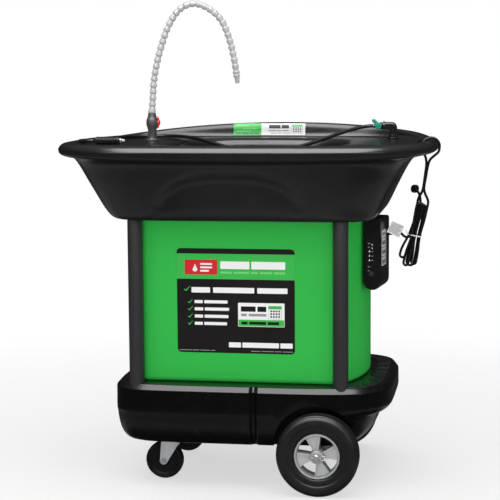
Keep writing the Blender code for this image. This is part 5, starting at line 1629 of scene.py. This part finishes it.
def make_wheel(side, side_name):
    centre = Vector((WHEEL_X, side * WHEEL_Y, WHEEL_RADIUS))
    axis = (0, side, 0)
    tyre = [
        (0.0562, -0.0190), (0.0600, -0.0222), (0.0650, -0.0236), (0.0742, -0.0246), (0.0748, -0.0262),
        (0.0765, -0.0270), (0.0830, -0.0284), (0.0900, -0.0280), (0.0955, -0.0252), (0.0978, -0.0226),
        (0.0984, -0.0206), (0.1004, -0.0190), (0.1013, -0.0150), (0.1016, -0.0100), (0.1016, -0.0030),
        (0.1006, -0.0022), (0.1006, 0.0022), (0.1016, 0.0030), (0.1016, 0.0100), (0.1013, 0.0150),
        (0.1004, 0.0190), (0.0984, 0.0206), (0.0978, 0.0226), (0.0955, 0.0252), (0.0900, 0.0280),
        (0.0830, 0.0284), (0.0765, 0.0270), (0.0748, 0.0262), (0.0742, 0.0246), (0.0650, 0.0236),
        (0.0600, 0.0222), (0.0562, 0.0190),
    ]
    piece = turned(f"wheel_tyre_{side_name}", tyre, centre, axis, 128, closed=True, fillet=0.0015, angle=30)
    place(piece, f"wheel_{side_name}", "tyre_rubber", FINISH["rubber"], f"tyre_{side_name}")

    build = bmesh.new()
    rim = [(0.0556, -0.0230), (0.0556, 0.0230), (0.0530, 0.0240), (0.0510, 0.0226), (0.0500, 0.0150),
           (0.0492, 0.0040),
           (0.0492, -0.0040), (0.0500, -0.0150), (0.0510, -0.0226), (0.0530, -0.0240)]
    add_turned(build, rounded(rim, 0.0010, 3, closed=True), centre, axis, 96, closed=True)
    bore = 0.0083
    boss = [(bore, -HUB_HALF_LENGTH), (0.0140, -HUB_HALF_LENGTH), (0.0162, -0.0285), (0.0176, -0.0060),
            (0.0176, 0.0060), (0.0162, 0.0285), (0.0140, HUB_HALF_LENGTH), (bore, HUB_HALF_LENGTH)]
    add_turned(build, rounded(boss, 0.0012, 3, closed=True), centre, axis, 48, closed=True)
    upright = Matrix.Translation(centre) @ Matrix.Rotation(0 if side < 0 else math.pi, 4, "Z")
    for middle in BLADE_MIDDLES:
        outline = []
        for radius, order in ((0.0500, 1), (0.0165, -1)):
            for step in range(9):
                share = (step / 8 * 2 - 1) * order
                turn = math.radians(90 - middle - share * BLADE_HALF * (1 if radius > 0.03 else 0.8))
                outline.append((radius * math.cos(turn), radius * math.sin(turn)))
        outline_solid(build, outline, -0.0120, -0.0085, upright, 0.0006, 2)
        outline_solid(build, outline, 0.0085, 0.0120, upright, 0.0006, 2)
        for edge in (-1, 1):
            turn = math.radians(90 - middle - edge * (BLADE_HALF - 1.5))
            along = upright @ Matrix.Rotation(-turn, 4, "Y")
            box_bmesh(build, (0.0155, -0.0175, -0.0011), (0.0505, 0.0175, 0.0011), 0.0005, 2, along)
    hub = mesh_piece(f"wheel_hub_{side_name}", build)
    place(hub, f"wheel_{side_name}", "hub_grey", FINISH["hub"], f"hub_{side_name}")

    face = HUB_HALF_LENGTH + 0.0003
    washer = rounded([(0.0083, face), (0.0125, face), (0.0125, face + 0.0018), (0.0083, face + 0.0018)],
                     0.0005, 3, closed=True)
    ring = skin(f"axle_washer_{side_name}", turned_rings(washer, centre, axis, 48), closed=True)
    place(ring, "stand", "zinc_steel", FINISH["steel"])
    make_cotter_pin(side, side_name, centre)


def make_cotter_pin(side, side_name, centre):
    """A split pin: an open eye on the right and two legs through the axle, their ends spread."""
    y = centre.y + side * 0.0365
    build = bmesh.new()
    for leg in (-1, 1):
        route = [(-0.0150, leg * 0.0044), (-0.0125, leg * 0.0026), (-0.0095, leg * 0.0009),
                 (0.0, leg * 0.0007),
                 (0.0090, leg * 0.0008), (0.0120, leg * 0.0028), (0.0150, leg * 0.0046),
                 (0.0190, leg * 0.0050),
                 (0.0228, leg * 0.0038), (0.0244, leg * 0.0001)]
        points = smooth_route([(centre.x + x, y, centre.z + z) for x, z in route], 0.0009)
        swept_tube(build, points, [0.00085] * len(points), 10)
    place(mesh_piece(f"split_pin_{side_name}", build, 60), "stand", "bright_steel", FINISH["steel"],
          f"cotter_pin_{side_name}")


def make_axle():
    profile = [(0, -0.2975), (0.0068, -0.2975), (0.0080, -0.2963), (0.0080, 0.2963), (0.0068, 0.2975),
               (0, 0.2975)]
    axle = turned("wheel_axle", profile, (WHEEL_X, 0, WHEEL_RADIUS), (0, 1, 0), 40)
    drills = []
    for side in (-1, 1):
        y = side * (WHEEL_Y + 0.0365)
        drills.append(turned("drill_tool", [(0, -0.02), (0.0017, -0.02), (0.0017, 0.02), (0, 0.02)],
                             (WHEEL_X, y, WHEEL_RADIUS), (1, 0, 0), 20))
        drills.append(turned("centre_tool", [(0, 0.2945), (0.0024, 0.2985), (0, 0.2985)],
                             (WHEEL_X, 0, WHEEL_RADIUS), (0, side, 0), 20))
    carve(axle, drills)
    resharpen(axle, 40)
    place(axle, "stand", "zinc_steel", FINISH["steel"], "axle")
    for side, side_name in ((-1, "front"), (1, "rear")):
        middle = side * 0.180
        base = 0.113 - 0.0003
        build = bmesh.new()
        arch = [(WHEEL_X - 0.026, base), (WHEEL_X - 0.026, base - 0.006), (WHEEL_X - 0.0145, base - 0.009)]
        for step in range(13):
            turn = math.pi + math.pi * step / 12
            arch.append((WHEEL_X + 0.0135 * math.cos(turn), WHEEL_RADIUS + 0.0132 * math.sin(turn)))
        arch += [(WHEEL_X + 0.0145, base - 0.009), (WHEEL_X + 0.026, base - 0.006), (WHEEL_X + 0.026, base)]
        outline_solid(build, arch, middle - 0.008, middle + 0.008, None, 0.0008, 2)
        bracket = mesh_piece(f"axle_saddle_{side_name}", build)
        hole = turned("bore_tool", [(0, -0.02), (0.0083, -0.02), (0.0083, 0.02), (0, 0.02)],
                      (WHEEL_X, middle, WHEEL_RADIUS), (0, 1, 0), 32)
        carve(bracket, [hole])
        resharpen(bracket, 40)
        place(bracket, "stand", "zinc_steel", FINISH["zinc"], f"axle_bracket_{side_name}")


def make_caster(side, side_name):
    swivel = Vector((CASTER_X, side * CASTER_Y, 0))
    build = bmesh.new()
    outline = round_outline(swivel.x - 0.030, swivel.y - 0.030, swivel.x + 0.030, swivel.y + 0.030, 0.004)
    add_part(build, [[Vector((x, y, z)) for x, y in outline] for z in (0.1097, 0.1127)])
    race = rounded([(0, 0.1038), (0.0130, 0.1038), (0.0185, 0.1052), (0.0205, 0.1075), (0.0205, 0.1100),
                    (0, 0.1100)],
                   0.0012, 3)
    add_turned(build, race, swivel, (0, 0, 1), 40)
    for x in (-0.0235, 0.0235):
        for y in (-0.0235, 0.0235):
            head = [(0, 0.1062), (0.0046, 0.1062), (0.0052, 0.1070), (0.0052, 0.1097), (0, 0.1097)]
            add_turned(build, head, swivel + Vector((x, y, 0)), (0, 0, 1), 6)
    place(mesh_piece(f"caster_top_{side_name}", build, 30), "stand", "zinc_steel", FINISH["zinc"],
          f"caster_plate_{side_name}")

    wheel_x = CASTER_X - CASTER_TRAIL
    build = bmesh.new()
    crown = rounded([(0, 0.0990), (0.0220, 0.0990), (0.0238, 0.1002), (0.0238, 0.1012), (0.0180, 0.1035),
                     (0, 0.1035)], 0.0008, 3)
    add_turned(build, crown, swivel, (0, 0, 1), 48)
    leg = [(CASTER_X - 0.0265, 0.1015), (CASTER_X + 0.0225, 0.1015), (CASTER_X + 0.0200, 0.0960)]
    for step in range(13):
        turn = math.radians(-30 - 12.5 * step)
        leg.append((wheel_x + 0.0098 * math.cos(turn), CASTER_RADIUS + 0.0098 * math.sin(turn)))
    leg = leg[::-1]
    for hand in (-1, 1):
        levels = sorted((swivel.y + hand * 0.0165, swivel.y + hand * 0.0190))
        outline_solid(build, leg, levels[0], levels[1], None, 0.0005, 2)
        ridge = [(CASTER_X - 0.0130, 0.0975), (CASTER_X + 0.0080, 0.0975), (wheel_x + 0.0040, 0.0640),
                 (wheel_x - 0.0020, 0.0640)]
        levels = sorted((swivel.y + hand * 0.0188, swivel.y + hand * 0.0197))
        outline_solid(build, ridge, levels[0], levels[1], None, 0.0004, 2)
        low = min(0, hand * 0.0190) + swivel.y
        box_bmesh(build, (CASTER_X - 0.0200, low, 0.0990), (CASTER_X + 0.0160, low + 0.0190, 0.1015),
                  0.0006, 2)
    fork = mesh_piece(f"caster_yoke_{side_name}", build, 35)
    hub_place = Vector((wheel_x, swivel.y, CASTER_RADIUS))
    bore = turned("bolt_tool", [(0, -0.03), (0.0043, -0.03), (0.0043, 0.03), (0, 0.03)], hub_place,
                  (0, 1, 0), 24)
    carve(fork, [bore])
    resharpen(fork, 35)
    place(fork, f"caster_{side_name}", "zinc_steel", FINISH["zinc"], f"caster_fork_{side_name}")

    section = [
        (0.0046, -0.0140), (0.0125, -0.0140), (0.0138, -0.0115), (0.0150, -0.0095), (0.0330, -0.0092),
        (0.0350, -0.0118), (0.0375, -0.0120), (0.0382, -0.0112), (0.0430, -0.0128), (0.0462, -0.0110),
        (0.0478, -0.0070), (0.0480, 0.0), (0.0478, 0.0070), (0.0462, 0.0110), (0.0430, 0.0128),
        (0.0382, 0.0112), (0.0375, 0.0120), (0.0350, 0.0118), (0.0330, 0.0092), (0.0150, 0.0095),
        (0.0138, 0.0115), (0.0125, 0.0140), (0.0046, 0.0140),
    ]
    wheel = turned(f"caster_roller_{side_name}_tyre", section, hub_place, (0, 1, 0), 96, True, 0.0010, 30)
    place(wheel, f"caster_roller_{side_name}", "caster_black", FINISH["caster"],
          f"caster_wheel_{side_name}")

    build = bmesh.new()
    outer = 0.0193
    for hand in (-1, 1):
        head = [(0, outer + 0.0005), (0.0072, outer + 0.0005), (0.0072, outer + 0.0012),
                (0, outer + 0.0012)]
        add_turned(build, head, hub_place, (0, hand, 0), 28)
        nut = rounded([(0, outer + 0.0012), (0.0062, outer + 0.0012), (0.0062, outer + 0.0038),
                       (0.0054, outer + 0.0046),
                       (0, outer + 0.0046)], 0.0003, 2)
        add_turned(build, nut, hub_place, (0, hand, 0), 6)
    shank = [(0, -outer - 0.0030), (0.0040, -outer - 0.0030), (0.0040, outer + 0.0030), (0, outer + 0.0030)]
    add_turned(build, shank, hub_place, (0, 1, 0), 28)
    place(mesh_piece(f"caster_pin_{side_name}", build, 30), f"caster_{side_name}", "bright_steel",
          FINISH["steel"],
          f"caster_bolt_{side_name}")


# ---------------------------------------------------------------- the bowl's grate and what the tank holds

def make_grate():
    """The lift-out grate: a frame with bars both ways."""
    low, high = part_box("sink_grate")
    bottom, top = low.z + 0.0002, high.z
    build = bmesh.new()
    across, along = 14, 12
    for index in range(across + 1):
        x = low.x + 0.003 + (high.x - low.x - 0.006) * index / across
        thick = 0.003 if index in (0, across) else 0.0016
        box_bmesh(build, (x - thick, low.y, bottom), (x + thick, high.y, top), 0.0005, 2)
    for index in range(along + 1):
        y = low.y + 0.003 + (high.y - low.y - 0.006) * index / along
        thick = 0.003 if index in (0, along) else 0.0016
        box_bmesh(build, (low.x, y - thick, bottom + 0.0006), (high.x, y + thick, top - 0.0004), 0.0005, 2)
    grate = mesh_piece("bowl_grate", build)
    place(grate, "grate", "grate_grey", FINISH["grate"], "sink_grate")

    low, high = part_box("filter_mat")
    build = bmesh.new()
    for level, inset in ((low.z, 0.004), (low.z + 0.003, 0.0), (high.z - 0.004, 0.0), (high.z, 0.003)):
        ring = oval_ring(level, -low.x - inset, high.x - inset, high.y - inset, 3.4, 3.4, 24)
        row = [build.verts.new(point) for point in ring]
        if level > low.z:
            for index in range(len(row)):
                after = (index + 1) % len(row)
                build.faces.new((previous[index], previous[after], row[after], row[index]))
        else:
            build.faces.new(row)
        previous = row
    build.faces.new(previous)
    mat = mesh_piece("fibre_mat", build)
    place(mat, "stand", "mat_white", FINISH["mat"], "filter_mat")


KEPT_NODES = {
    "pump_body": "pump", "manifold_tee": "valve", "heater_element": "steel", "drain_plug": "valve",
    "faucet_supply_pipe": "pipe", "brush_supply_pipe": "pipe", "level_stem": "steel", "level_float": "pipe",
}


def finish_kept_nodes():
    """The CAD pieces inside the tank keep their shape and get a finished surface."""
    for name, look in KEPT_NODES.items():
        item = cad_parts[name]
        for index in range(max(1, len(item.material_slots))):
            if item.material_slots:
                item.material_slots[index].material = FINISH[look]


def main():
    make_stage()
    hose, hose_points = make_brush_hose()
    cord, cord_points = make_power_cord()
    tie = make_tie()
    plug = make_plug()
    tag = make_tag()
    brush = make_brush()
    sink = make_sink()
    make_splash_sticker(sink)
    make_base()
    make_posts()
    make_tank()
    make_front_label()
    make_faucet()
    make_arm()
    make_brush_feed()
    make_control_box()
    make_strain_relief()
    make_axle()
    for side, side_name in ((-1, "front"), (1, "rear")):
        make_wheel(side, side_name)
        make_caster(side, side_name)
    make_grate()
    finish_kept_nodes()


main()
